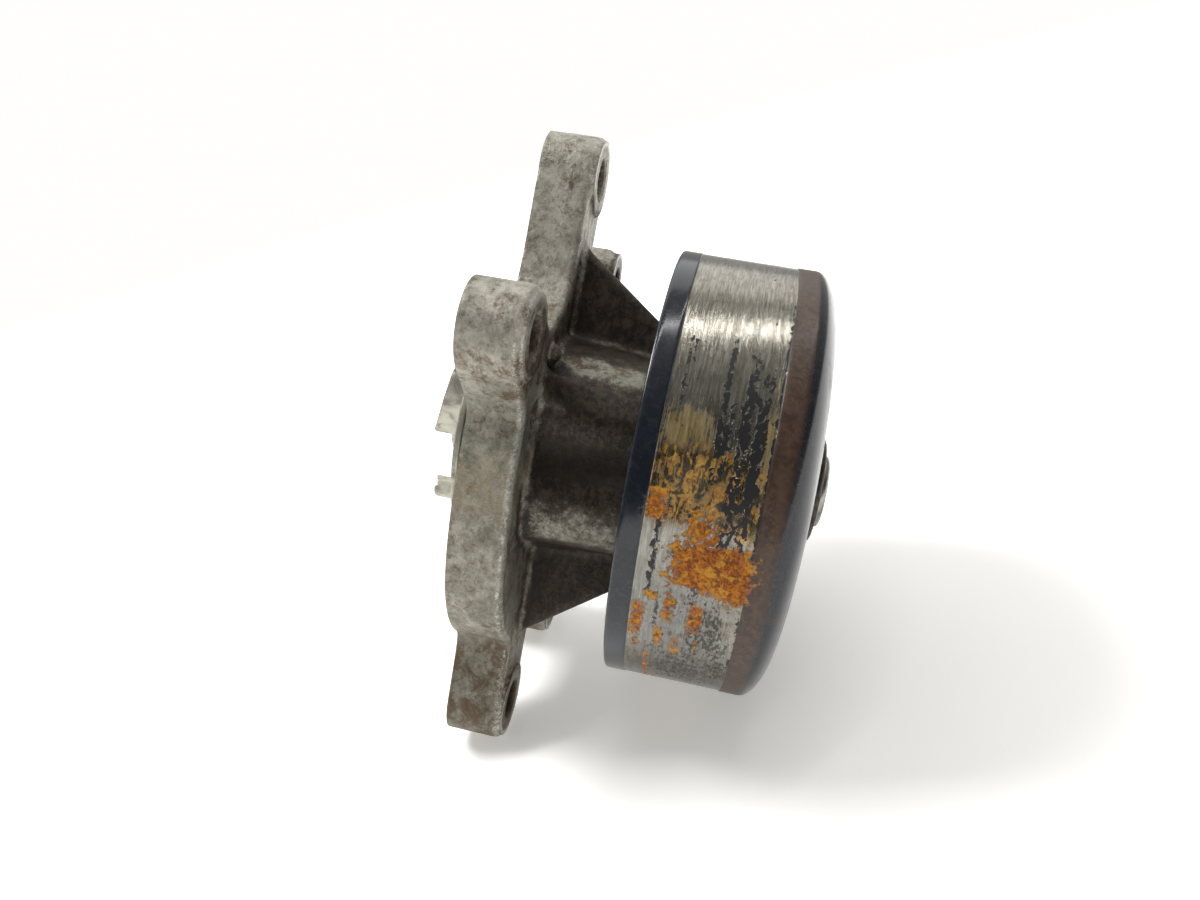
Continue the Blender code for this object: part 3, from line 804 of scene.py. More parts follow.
class GrowthTree:
    """A Geometry Nodes tree with named inputs, which ends in real geometry and its material."""

    KINDS = {int: "NodeSocketInt", float: "NodeSocketFloat"}

    def __init__(self, name: str, sizes: Mapping[str, int | float]) -> None:
        """Start a tree.

        Args:
            name: The tree's name.
            sizes: Its named inputs with their values; whole numbers stay whole.
        """
        self.tree = bpy.data.node_groups.new(name, "GeometryNodeTree")
        self.sizes = dict(sizes)
        face = self.tree.interface
        face.new_socket("Geometry", in_out="OUTPUT", socket_type="NodeSocketGeometry")
        face.new_socket("Geometry", in_out="INPUT", socket_type="NodeSocketGeometry")
        self.keys = {
            name: face.new_socket(name, in_out="INPUT", socket_type=self.KINDS[type(value)]).identifier
            for name, value in sizes.items()
        }
        finish = face.new_socket("Finish", in_out="INPUT", socket_type="NodeSocketMaterial")
        self.finish_key = finish.identifier
        self.source = self.tree.nodes.new("NodeGroupInput")

    def size(self, name: str) -> bpy.types.NodeSocket:
        """Give the socket of a named input."""
        return self.source.outputs[name]

    def add(
        self, kind: str, settings: Mapping[str, object], values: Mapping[int | str, object],
        output: int | str = 0,
    ) -> bpy.types.NodeSocket:
        """Add a node.

        Args:
            kind: The node's type.
            settings: Its properties.
            values: Socket or value for each input, by name or number.
            output: The output that is wanted.

        Returns:
            That output socket.
        """
        node = self.tree.nodes.new(kind)
        for name, setting in settings.items():
            setattr(node, name, setting)
        for key, value in values.items():
            if isinstance(value, bpy.types.NodeSocket):
                self.tree.links.new(value, node.inputs[key])
            else:
                node.inputs[key].default_value = value
        return node.outputs[output]

    def calculate(self, operation: str, first: object, second: object = 0.0) -> bpy.types.NodeSocket:
        """Add a Math node."""
        return self.add("ShaderNodeMath", {"operation": operation}, {0: first, 1: second})

    def turn_of_index(self, count: str, phase: float = 0.0) -> bpy.types.NodeSocket:
        """Give each point's angle when the points share out one full turn, in radians."""
        index = self.add("GeometryNodeInputIndex", {}, {})
        share = self.calculate("DIVIDE", index, self.size(count))
        turn = self.calculate("MULTIPLY", share, 2.0 * math.pi)
        return self.calculate("ADD", turn, math.radians(phase))

    def close(self, geometry: bpy.types.NodeSocket) -> None:
        """End the tree: make instances real, shade them smooth and give them the finish."""
        real = self.add("GeometryNodeRealizeInstances", {}, {0: geometry})
        smooth = self.add("GeometryNodeSetShadeSmooth", {}, {0: real})
        dressed = self.add(
            "GeometryNodeSetMaterial", {}, {"Geometry": smooth, "Material": self.size("Finish")}
        )
        end = self.tree.nodes.new("NodeGroupOutput")
        self.tree.links.new(dressed, end.inputs[0])

    def grow(
        self, name: str, finish: bpy.types.Material, seed: bpy.types.Mesh | None = None
    ) -> bpy.types.Object:
        """Run the tree and keep what it makes.

        Args:
            name: Name of the piece.
            finish: Its material.
            seed: Mesh that goes into the tree.

        Returns:
            A piece with a plain mesh and no modifier.
        """
        piece = bpy.data.objects.new(name, seed or bpy.data.meshes.new(name))
        bpy.context.scene.collection.objects.link(piece)
        step = piece.modifiers.new("grow", "NODES")
        step.node_group = self.tree
        for key, value in self.sizes.items():
            step[self.keys[key]] = value
        step[self.finish_key] = finish
        graph = bpy.context.evaluated_depsgraph_get()
        mesh = bpy.data.meshes.new_from_object(piece.evaluated_get(graph))
        mesh.name = name
        piece.modifiers.clear()
        piece.data = mesh
        return piece


# Casting ---------------------------------------------------------------------------------------
Field = Callable[[np.ndarray], np.ndarray]


def filleted(first: np.ndarray, second: np.ndarray, width: float) -> np.ndarray:
    """Join two distance fields with a fillet of about that width."""
    overlap = np.maximum(width - np.abs(first - second), 0.0) / width
    return np.minimum(first, second) - overlap**2 * width / 4.0


def edge_rounded(first: np.ndarray, second: np.ndarray, radius: float) -> np.ndarray:
    """Keep what is inside both distance fields, with its edge rounded."""
    a = first + radius
    b = second + radius
    outside = np.hypot(np.maximum(a, 0.0), np.maximum(b, 0.0))
    return np.minimum(np.maximum(a, b), 0.0) + outside - radius


def gradient(field: Field, points: np.ndarray, step: float = 0.05) -> np.ndarray:
    """Give a distance field's slope at some points."""
    parts = []
    for axis in range(3):
        shift = np.zeros(3)
        shift[axis] = step
        parts.append((field(points + shift) - field(points - shift)) / (2.0 * step))
    return np.column_stack(parts)


@dataclass(frozen=True)
class SurfaceNet:
    """Turns a distance field into a closed mesh of near-square faces.

    Attributes:
        low: Lowest corner of the space that is searched.
        high: Its highest corner.
        pitch: Width of a face.
    """

    low: Point
    high: Point
    pitch: float

    COARSE = 3

    def sample(self, field: Field) -> np.ndarray:
        """Measure the field on a grid, finely only where the surface is near."""
        counts = [
            math.ceil((high - low) / self.pitch / self.COARSE) * self.COARSE
            for low, high in zip(self.low, self.high)
        ]
        axes = [low + self.pitch * np.arange(count) for low, count in zip(self.low, counts)]
        middle = self.COARSE // 2
        sparse = [axis[middle :: self.COARSE] for axis in axes]
        grid = np.stack(np.meshgrid(*sparse, indexing="ij"), -1)
        values = field(grid.reshape(-1, 3)).reshape(grid.shape[:3])
        for axis in range(3):
            values = values.repeat(self.COARSE, axis)
        near = np.argwhere(np.abs(values) < 5.0 * self.pitch)
        values[tuple(near.T)] = field(np.array(self.low) + self.pitch * near)
        return values

    def mesh_data(self, field: Field) -> tuple[np.ndarray, np.ndarray]:
        """Find the surface.

        Args:
            field: Distance to the surface, below zero inside.

        Returns:
            The vertices and the four-cornered faces.
        """
        values = self.sample(field)
        solid = values < 0.0
        offsets = np.array([(i, j, k) for i in (0, 1) for j in (0, 1) for k in (0, 1)])
        size = np.array(values.shape) - 1
        total = sum(
            solid[i : i + size[0], j : j + size[1], k : k + size[2]].astype(np.int8)
            for i, j, k in offsets
        )
        cells = np.argwhere((total > 0) & (total < 8))
        at_corner = [values[tuple((cells + offset).T)] for offset in offsets]
        place = np.zeros((len(cells), 3))
        crossings = np.zeros(len(cells))
        for a in range(8):
            for b in range(a + 1, 8):
                if np.abs(offsets[a] - offsets[b]).sum() != 1:
                    continue
                first, second = at_corner[a], at_corner[b]
                crossed = (first < 0.0) != (second < 0.0)
                share = np.where(crossed, first / np.where(crossed, first - second, 1.0), 0.0)
                place += crossed[:, None] * (offsets[a] + share[:, None] * (offsets[b] - offsets[a]))
                crossings += crossed
        points = np.array(self.low) + self.pitch * (cells + place / crossings[:, None])
        number = np.full(size, -1)
        number[tuple(cells.T)] = np.arange(len(cells))
        return self.drawn_on(field, points), self.faces(solid, number)

    def faces(self, solid: np.ndarray, number: np.ndarray) -> np.ndarray:
        """Make one face for each grid edge that the surface crosses."""
        found = []
        for axis in range(3):
            along = np.zeros(3, int)
            along[axis] = 1
            side, other = np.zeros(3, int), np.zeros(3, int)
            side[(axis + 1) % 3] = 1
            other[(axis + 2) % 3] = 1
            inner = [slice(1, -1)] * 3
            inner[axis] = slice(0, -1)
            ahead = list(inner)
            ahead[axis] = slice(1, None)
            changes = np.argwhere(solid[tuple(inner)] != solid[tuple(ahead)]) + side + other
            ring = [changes - side - other, changes - other, changes, changes - side]
            quads = np.stack([number[tuple(cell.T)] for cell in ring], 1)
            outward = solid[tuple(changes.T)]
            found.append(np.where(outward[:, None], quads, quads[:, ::-1]))
        return np.vstack(found)

    def drawn_on(self, field: Field, points: np.ndarray) -> np.ndarray:
        """Move points onto the surface."""
        for _ in range(3):
            slope = gradient(field, points)
            steep = np.maximum((slope**2).sum(1), 0.2)
            step = slope * (field(points) / steep)[:, None]
            length = np.maximum(np.linalg.norm(step, axis=1), 1e-9)
            points = points - step * np.minimum(1.0, 0.5 * self.pitch / length)[:, None]
        return points


@dataclass(frozen=True)
class Ear:
    """A bolt ear of the flange with its boss and its stiffening web.

    Attributes:
        angle: Its place round the shaft.
        distance: From the shaft to the bolt's axis.
        radius: Of its round end.
        neck: Width of the blend into the flange.
        face_x: Axial place of the machined bolt seat.
        crest: Radius at which its web starts on the flange.
    """

    angle: float
    distance: float
    radius: float
    neck: float
    face_x: float
    crest: float

    def reach(self, angle: np.ndarray) -> np.ndarray:
        """Give the radius of the ear's edge at some angles."""
        away = np.radians(angle - self.angle)
        along, across = np.cos(away), np.maximum(np.abs(np.sin(away)), 1e-6)
        side = self.radius / across
        inside = np.maximum(self.radius**2 - (self.distance * across) ** 2, 0.0)
        end = self.distance * along + np.sqrt(inside)
        return np.where(along <= 0.0, np.minimum(side, self.radius),
                        np.where(side * along <= self.distance, side, end))

    def middle(self) -> tuple[float, float]:
        """Give the (y, z) place of the bolt's axis."""
        return on_circle(self.angle, self.distance)


@dataclass(frozen=True)
class CastShape:
    """Distance field of the rough casting, before anything is machined."""

    ears: tuple[Ear, ...]
    thick: float = 12.0
    round_radius: float = 30.8
    lobe_disc_radius: float = 29.8
    lobe_disc_offset: float = 17.1
    lobe_disc_blend: float = 9.0
    stock: float = 1.5
    edge: float = 1.1
    boss_radius: float = 8.2
    web_thick: float = 6.0
    web_slope: float = 0.72
    nose_x: float = 46.0
    nose_radius: float = 19.4
    nose_end_x: float = 61.5
    cavity_angle: float = 199.0
    cavity_distance: float = 16.35
    cavity_radius: float = 10.5
    cavity_end_x: float = 38.0
    valley_angle: float = 160.0
    valley_distance: float = 32.5
    valley_radius: float = 10.5
    knob_angle: float = 113.0
    knob_distance: float = 27.0
    map_pitch: float = 0.4
    map_reach: float = 76.0

    def edge_radius(self, angle: np.ndarray) -> np.ndarray:
        """Give the flange's radius at some angles round the shaft."""
        def join(first: np.ndarray, second: np.ndarray, width: float) -> np.ndarray:
            """Take the larger radius, blended where the two are close."""
            return -filleted(-first, -second, width)

        reach = np.full_like(angle, self.round_radius)
        for ear in self.ears[2:4]:
            away = np.radians(angle - ear.angle)
            across = (self.lobe_disc_offset * np.sin(away)) ** 2
            disc = self.lobe_disc_offset * np.cos(away) + np.sqrt(self.lobe_disc_radius**2 - across)
            reach = join(reach, disc, self.lobe_disc_blend)
        for ear in self.ears:
            reach = join(reach, ear.reach(angle), ear.neck)
        return reach

    def outline_map(self) -> np.ndarray:
        """Measure the distance to the flange's outline on a flat grid."""
        angle = np.linspace(0.0, 360.0, 900, endpoint=False)
        radius = self.edge_radius(angle)
        turn = np.radians(angle)
        line = np.column_stack([radius * np.cos(turn), radius * np.sin(turn)])
        run = np.roll(line, -1, 0) - line
        length = (run**2).sum(1)
        ticks = np.arange(-self.map_reach, self.map_reach + self.map_pitch, self.map_pitch)
        rows = []
        for y in ticks:
            spot = np.column_stack([np.full_like(ticks, y), ticks])
            to_line = spot[:, None, :] - line[None]
            share = np.clip((to_line * run).sum(2) / length, 0.0, 1.0)
            gap = to_line - share[:, :, None] * run
            near = np.sqrt((gap**2).sum(2).min(1))
            around = np.degrees(np.arctan2(spot[:, 1], spot[:, 0])) % 360.0
            inside = np.hypot(spot[:, 0], spot[:, 1]) < self.edge_radius(around)
            rows.append(np.where(inside, -near, near))
        return np.array(rows)

    def barrel(self, x: np.ndarray, radius: np.ndarray) -> np.ndarray:
        """Give the distance to the tapered barrel and its nose."""
        rear = 24.5 - 0.0893 * (x - 6.0)
        middle = 22.0 - 0.2167 * (x - 34.0)
        taper = filleted(rear, middle, 1.0)
        outer = -filleted(-taper, np.full_like(x, -self.nose_radius), 1.6)
        return edge_rounded(radius - outer, x - self.nose_end_x - 0.6, 1.4)

    def field(self) -> Field:
        """Give the distance field of the whole casting."""
        outline = self.outline_map()

        def flat(y: np.ndarray, z: np.ndarray) -> np.ndarray:
            """Read the outline map between its grid points."""
            limit = len(outline) - 1.001
            u = np.clip((y + self.map_reach) / self.map_pitch, 0.0, limit)
            v = np.clip((z + self.map_reach) / self.map_pitch, 0.0, limit)
            i, j = u.astype(int), v.astype(int)
            u, v = u - i, v - j
            low = outline[i, j] * (1.0 - v) + outline[i, j + 1] * v
            high = outline[i + 1, j] * (1.0 - v) + outline[i + 1, j + 1] * v
            return low * (1.0 - u) + high * u

        def distance(points: np.ndarray) -> np.ndarray:
            """Measure the distance from some points to the casting."""
            x, y, z = points.T
            half = (self.thick + self.stock) / 2.0
            across = np.abs(x - (self.thick - half)) - half
            shape = edge_rounded(flat(y, z), across, self.edge)
            shape = filleted(shape, self.barrel(x, np.hypot(y, z)), 2.4)
            shape = -filleted(-shape, self.valley(x, y, z), 2.5)
            shape = filleted(shape, self.cavity(x, y, z), 1.2)
            for ear in self.ears:
                shape = filleted(shape, self.web(ear, x, y, z), 2.2)
            for ear in self.ears:
                middle_y, middle_z = ear.middle()
                away = np.hypot(y - middle_y, z - middle_z) - self.boss_radius
                boss = edge_rounded(away, np.maximum(x - ear.face_x - 0.8, 4.0 - x), 0.4)
                shape = filleted(shape, boss, 1.2)
            knob_y, knob_z = on_circle(self.knob_angle, self.knob_distance)
            knob = np.sqrt((x - 12.4) ** 2 + (y - knob_y) ** 2 + (z - knob_z) ** 2) - 2.0
            return filleted(shape, knob, 1.4)

        return distance

    def cavity(self, x: np.ndarray, y: np.ndarray, z: np.ndarray) -> np.ndarray:
        """Give the distance to the rounded lobe beside the barrel."""
        middle_y, middle_z = on_circle(self.cavity_angle, self.cavity_distance)
        size = self.cavity_radius - (x - 6.0) / 32.0
        away = np.hypot(y - middle_y, z - middle_z) - size
        return edge_rounded(away, np.maximum(x - self.cavity_end_x, 5.0 - x), 4.0)

    def valley(self, x: np.ndarray, y: np.ndarray, z: np.ndarray) -> np.ndarray:
        """Give the distance to the shallow valley between the barrel's crown and the lobe."""
        middle_y, middle_z = on_circle(self.valley_angle, self.valley_distance - x * 0.08)
        away = np.hypot(y - middle_y, z - middle_z) - self.valley_radius
        return edge_rounded(away, np.maximum(x - self.nose_x, self.thick + 0.6 - x), 2.0)

    def web(self, ear: Ear, x: np.ndarray, y: np.ndarray, z: np.ndarray) -> np.ndarray:
        """Give the distance to the web behind an ear."""
        turn = math.radians(ear.angle)
        out = y * math.cos(turn) + z * math.sin(turn)
        side = z * math.cos(turn) - y * math.sin(turn)
        thick = self.web_thick / 2.0 - 0.025 * (out - 30.0)
        slope = math.hypot(1.0, self.web_slope)
        crest = (out - ear.crest + self.web_slope * (x - self.thick)) / slope
        ends = np.maximum(np.maximum(out - ear.crest, 14.0 - out), np.maximum(5.0 - x, x - 46.5))
        return edge_rounded(np.abs(side) - thick, np.maximum(crest, ends), 1.7)


@dataclass
class CastHousing:
    """The housing: a rough casting with its machined face, bores, bolt holes and seats."""

    book: FinishBook
    pitch: float = 0.78
    hole_radius: float = 4.5
    seat_radius: float = 9.4
    pocket_radius: float = 26.0
    pocket_depth: float = 1.2
    seal_radius: float = 18.1
    seal_end_x: float = 14.0
    chamber_radius: float = 13.0
    bearing_radius: float = 15.3
    bearing_x: float = 20.5
    weep_x: float = 17.3
    weep_radius: float = 2.5
    web_soot_and_shade_radius: float = 27.5
    web_soot_and_shade_fade: float = 3.0
    web_soot_and_shade: float = 0.86
    shelter_x: float = 12.2
    shelter_fade: float = 1.6
    # Soot and painted shade round the barrel by angle: darkest in the valley and on the webs; the low values
    # on the barrel's crown (105 to 112) and on the lobe (203) leave it light there as a painted highlight.
    soot_and_shade_angles: tuple[float, ...] = (
        0.0, 60.0, 99.0, 105.0, 112.0, 118.0, 146.0, 156.0,
        172.0, 179.0, 192.0, 203.0, 211.0, 250.0, 360.0,
    )
    soot_and_shade_amounts: tuple[float, ...] = (
        0.60, 0.66, 0.60, 0.02, 0.00, 0.56, 0.74, 1.00,
        1.00, 0.58, 0.34, 0.16, 0.84, 0.92, 0.60,
    )
    ears: tuple[Ear, ...] = (
        Ear(66.3, 60.0, 8.9, 16.0, 12.7, 44.6),
        Ear(129.1, 43.4, 9.6, 7.0, 12.7, 28.5),
        Ear(250.1, 61.9, 9.1, 9.0, 12.7, 45.3),
        Ear(289.9, 61.9, 9.1, 9.0, 12.7, 45.3),
        Ear(22.4, 60.2, 8.9, 16.0, 14.2, 44.6),
    )

    def cutters(self) -> list[bpy.types.Mesh]:
        """Make the shapes that are cut away: face, bores, holes with seats, and weep hole."""
        far = 80.0
        shape = CastShape(self.ears)
        face = TurnedShape("face_cut", ((0.0, 0.0), (0.0, far), (-6.0, far), (-6.0, 0.0)), False, 96)
        front = shape.nose_end_x
        bores = TurnedShape(
            "bore_cut",
            (
                (front + 6.0, 0.0), (front + 6.0, 26.0), (front, 26.0),
                (front, self.bearing_radius + 0.6), (front - 0.6, self.bearing_radius),
                (self.bearing_x, self.bearing_radius), (self.bearing_x, self.chamber_radius),
                (self.seal_end_x, self.chamber_radius), (self.seal_end_x, self.seal_radius),
                (self.pocket_depth + 0.5, self.seal_radius), (self.pocket_depth, self.seal_radius + 0.5),
                (self.pocket_depth, self.pocket_radius), (-3.0, self.pocket_radius), (-3.0, 0.0),
            ),
            False, 160,
        )
        meshes = [face.mesh(), bores.mesh()]
        for ear in self.ears:
            seat = ear.face_x
            hole = TurnedShape(
                "bolt_cut",
                (
                    (seat + 8.0, 0.0), (seat + 8.0, self.seat_radius), (seat, self.seat_radius),
                    (seat, self.hole_radius + 0.45), (seat - 0.45, self.hole_radius),
                    (-4.0, self.hole_radius), (-4.0, 0.0),
                ),
                False, 72,
            ).mesh()
            middle_y, middle_z = ear.middle()
            hole.transform(Matrix.Translation((0.0, middle_y * MM, middle_z * MM)))
            meshes.append(hole)
        weep = TurnedShape(
            "weep_cut", ((-10.5, 0.0), (-10.5, self.weep_radius), (-30.0, self.weep_radius), (-30.0, 0.0)),
            False, 40,
        ).mesh()
        weep.transform(Matrix.Rotation(-math.pi / 2.0, 4, "Y"))
        weep.transform(Matrix.Translation((self.weep_x * MM, 0.0, 0.0)))
        return meshes + [weep]

    def machine(self, casting: bpy.types.Object) -> None:
        """Cut the machined faces into the casting."""
        for cut in self.cutters():
            tool = bpy.data.objects.new(cut.name, cut)
            bpy.context.scene.collection.objects.link(tool)
            before = len(casting.data.polygons)
            for solver in ("MANIFOLD", "EXACT"):
                step = casting.modifiers.new(cut.name, "BOOLEAN")
                step.operation = "DIFFERENCE"
                step.solver = solver
                step.object = tool
                graph = bpy.context.evaluated_depsgraph_get()
                mesh = bpy.data.meshes.new_from_object(casting.evaluated_get(graph))
                casting.modifiers.clear()
                if 0 < len(mesh.polygons) != before:
                    casting.data = mesh
                    break
                LOG.info("%s needs the exact solver", cut.name)
            bpy.data.objects.remove(tool, do_unlink=True)

    def store_wear_and_shade(self, mesh: bpy.types.Mesh, field: Field) -> None:
        """Store how enclosed and how exposed each part of the cast skin is, and its soot and painted shade;
        these paint dirt and shade in corners and highlights on edges.
        """
        points = vertex_places(mesh) / MM
        slope = gradient(field, points, 0.3)
        normal = slope / np.maximum(np.linalg.norm(slope, axis=1), 1e-6)[:, None]
        # How enclosed each place is; it paints dirt and shade in corners and recesses.
        hollow = np.zeros(len(points))
        for reach, weight in ((1.5, 0.2), (4.0, 0.35), (9.0, 0.45)):
            open_space = field(points + normal * reach) / reach
            hollow += weight * np.clip(1.0 - open_space, 0.0, 1.0)
        buried = -field(points - normal * 1.6) / 1.6
        store(mesh, "hollow", np.clip(hollow * 1.5, 0.0, 1.0))
        store(mesh, "edge", np.clip((0.93 - buried) * 2.2, 0.0, 1.0))
        store(mesh, "soot", self.soot_and_shade_on(*points.T))

    def soot_and_shade_on(self, x: np.ndarray, y: np.ndarray, z: np.ndarray) -> np.ndarray:
        """Give the soot and painted shade on the sheltered side: most in the valley and on the webs, least
        on the barrel's crown and the lobe, which stay light as painted highlights.
        """
        angle = np.degrees(np.arctan2(z, y)) % 360.0
        barrel = np.interp(angle, self.soot_and_shade_angles, self.soot_and_shade_amounts)
        outside = np.clip((np.hypot(y, z) - self.web_soot_and_shade_radius) / self.web_soot_and_shade_fade, 0.0, 1.0)
        amount = np.maximum(barrel, self.web_soot_and_shade * outside)
        return amount * np.clip((x - self.shelter_x) / self.shelter_fade, 0.0, 1.0)

    def split_faces(self, mesh: bpy.types.Mesh, field: Field) -> None:
        """Give the cut faces the machined finish and keep their borders crisp."""
        count = len(mesh.polygons)
        middle = np.empty(count * 3)
        mesh.polygons.foreach_get("center", middle)
        machined = np.abs(field(middle.reshape(-1, 3) / MM)) > 0.14
        mesh.polygons.foreach_set("material_index", machined.astype(np.int32))
        normal = np.empty(count * 3)
        mesh.polygons.foreach_get("normal", normal)
        normal = normal.reshape(-1, 3)
        totals = np.empty(count, np.int32)
        mesh.polygons.foreach_get("loop_total", totals)
        owner = np.repeat(np.arange(count), totals)
        edges = np.empty(len(mesh.loops), np.int32)
        mesh.loops.foreach_get("edge_index", edges)
        order = np.argsort(edges, kind="stable")
        edges, owner = edges[order], owner[order]
        pair = np.flatnonzero(edges[:-1] == edges[1:])
        first, second = owner[pair], owner[pair + 1]
        bend = np.einsum("ij,ij->i", normal[first], normal[second]) < math.cos(SHARP_ANGLE)
        crisp = (machined[first] != machined[second]) | (machined[first] & bend)
        sharp = np.zeros(len(mesh.edges), bool)
        sharp[edges[pair]] = crisp
        mesh.shade_smooth()
        name = "sharp_edge"
        attribute = mesh.attributes.get(name) or mesh.attributes.new(name, "BOOLEAN", "EDGE")
        attribute.data.foreach_set("value", sharp)

    def build(self) -> None:
        """Make the housing and hand it to the frame."""
        low, high = (np.array(corner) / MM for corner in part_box("pump_body"))
        field = CastShape(self.ears).field()
        net = SurfaceNet(tuple(low - 3.0), tuple(high + 3.0), self.pitch)
        points, faces = net.mesh_data(field)
        rough = new_mesh("pump_casting", points, faces)
        casting = show(rough)
        self.machine(casting)
        mesh = casting.data
        mesh.name = "pump_casting"
        self.split_faces(mesh, field)
        self.store_wear_and_shade(mesh, field)
        mesh.materials.clear()
        mesh.materials.append(CastFinish().make())
        mesh.materials.append(self.book.take(FinishKind.MACHINED))
        settle(casting, "housing", "cast_housing", "pump_body")


# Pulley ----------------------------------------------------------------------------------------
class Mark(Enum):
    """Kinds of wear on the pulley, by the name of the stored value."""

    RUST = "rust"
    OCHRE = "ochre"
    VEIN = "vein"
    FLECK = "fleck"
    PATCH = "patch"
    BLUE = "blue"
    TARNISH = "tarnish"
    BLOOM = "bloom"


@dataclass(frozen=True)
class Stain:
    """One worn or rusted place on the pulley's skin.

    Attributes:
        mark: What kind of wear it is.
        angle: Its middle round the shaft.
        x: Its middle along the shaft.
        half_angle: Half its size round the shaft, in degrees.
        half_x: Half its size along the shaft.
        strength: Its value in the middle.
    """

    mark: Mark
    angle: float
    x: float
    half_angle: float
    half_x: float
    strength: float

    def on(self, angle: np.ndarray, x: np.ndarray) -> np.ndarray:
        """Give its strength at some places, flat in the middle with a soft edge."""
        away = (angle - self.angle + 180.0) % 360.0 - 180.0
        reach = np.hypot((away / self.half_angle) ** 2, ((x - self.x) / self.half_x) ** 2)
        return self.strength * np.exp(-0.6 * reach**1.4)


# Angle, x, half angle, half x and strength of each worn place.
STAINS: dict[Mark, tuple[tuple[float, float, float, float, float], ...]] = {
    Mark.RUST: (
        (175.6, 52.0, 6.2, 7.6, 0.86), (178.0, 57.0, 6.4, 2.6, 0.80),
        (167.0, 48.8, 4.6, 3.2, 0.62), (171.0, 51.0, 5.0, 2.2, 0.66),
        (163.0, 40.6, 4.0, 2.2, 0.66), (193.0, 40.3, 7.0, 1.5, 0.62),
        (187.0, 45.8, 6.0, 1.4, 0.60), (191.0, 50.9, 6.0, 1.6, 0.64),
        (201.0, 48.0, 4.5, 1.2, 0.52), (214.0, 43.0, 11.0, 0.7, 0.58),
        (185.2, 42.6, 1.2, 1.9, 0.60), (177.0, 60.4, 5.0, 1.5, 0.44),
        (198.5, 44.6, 4.0, 1.0, 0.56), (204.0, 40.6, 5.0, 1.0, 0.54),
        (200.0, 52.0, 3.5, 0.9, 0.52),
    ),
    Mark.VEIN: (
        (158.0, 46.8, 8.0, 8.6, 0.92), (160.0, 56.5, 9.0, 2.6, 0.70),
    ),
    Mark.OCHRE: (
        (146.5, 43.4, 5.6, 5.0, 0.74), (150.0, 57.6, 15.0, 1.3, 0.70),
        (157.0, 46.5, 9.0, 10.0, 0.62), (176.0, 50.0, 9.0, 9.0, 0.34),
    ),
    Mark.FLECK: (
        (131.0, 41.4, 9.0, 0.40, 0.46), (129.0, 42.5, 6.0, 0.25, 0.34),
        (173.0, 41.5, 12.0, 0.55, 0.52), (139.0, 49.0, 14.5, 0.60, 0.60),
        (147.0, 50.5, 9.5, 0.65, 0.56), (142.0, 53.3, 16.0, 1.05, 0.60),
        (163.0, 53.2, 9.0, 1.20, 0.52), (152.0, 55.9, 19.0, 1.15, 0.66),
        (144.0, 58.66, 30.0, 0.34, 0.70), (186.0, 58.6, 16.0, 0.22, 0.42),
    ),
    Mark.PATCH: (
        (194.0, 53.2, 12.0, 4.6, 0.60), (176.0, 41.8, 11.0, 0.8, 0.60),
        (156.5, 45.0, 6.5, 4.4, 0.66), (163.5, 52.0, 6.0, 3.4, 0.60),
        (212.0, 50.0, 16.0, 9.0, 0.54), (188.0, 47.0, 5.0, 2.0, 0.50),
        (200.0, 45.0, 8.0, 1.0, 0.52), (205.0, 56.4, 14.0, 2.4, 0.58),
        (190.0, 43.6, 9.0, 0.9, 0.56), (183.0, 49.4, 4.0, 1.6, 0.56),
    ),
    Mark.TARNISH: (
        (222.0, 48.8, 20.0, 14.0, 0.72), (194.0, 50.0, 16.0, 8.0, 0.48),
    ),
    Mark.BLUE: (
        (192.0, 47.0, 20.0, 9.0, 0.70),
    ),
    Mark.BLOOM: (
        (112.0, 61.4, 26.0, 2.2, 0.70), (176.0, 60.6, 18.0, 2.0, 0.75),
        (200.0, 61.0, 14.0, 1.6, 0.45),
    ),
}


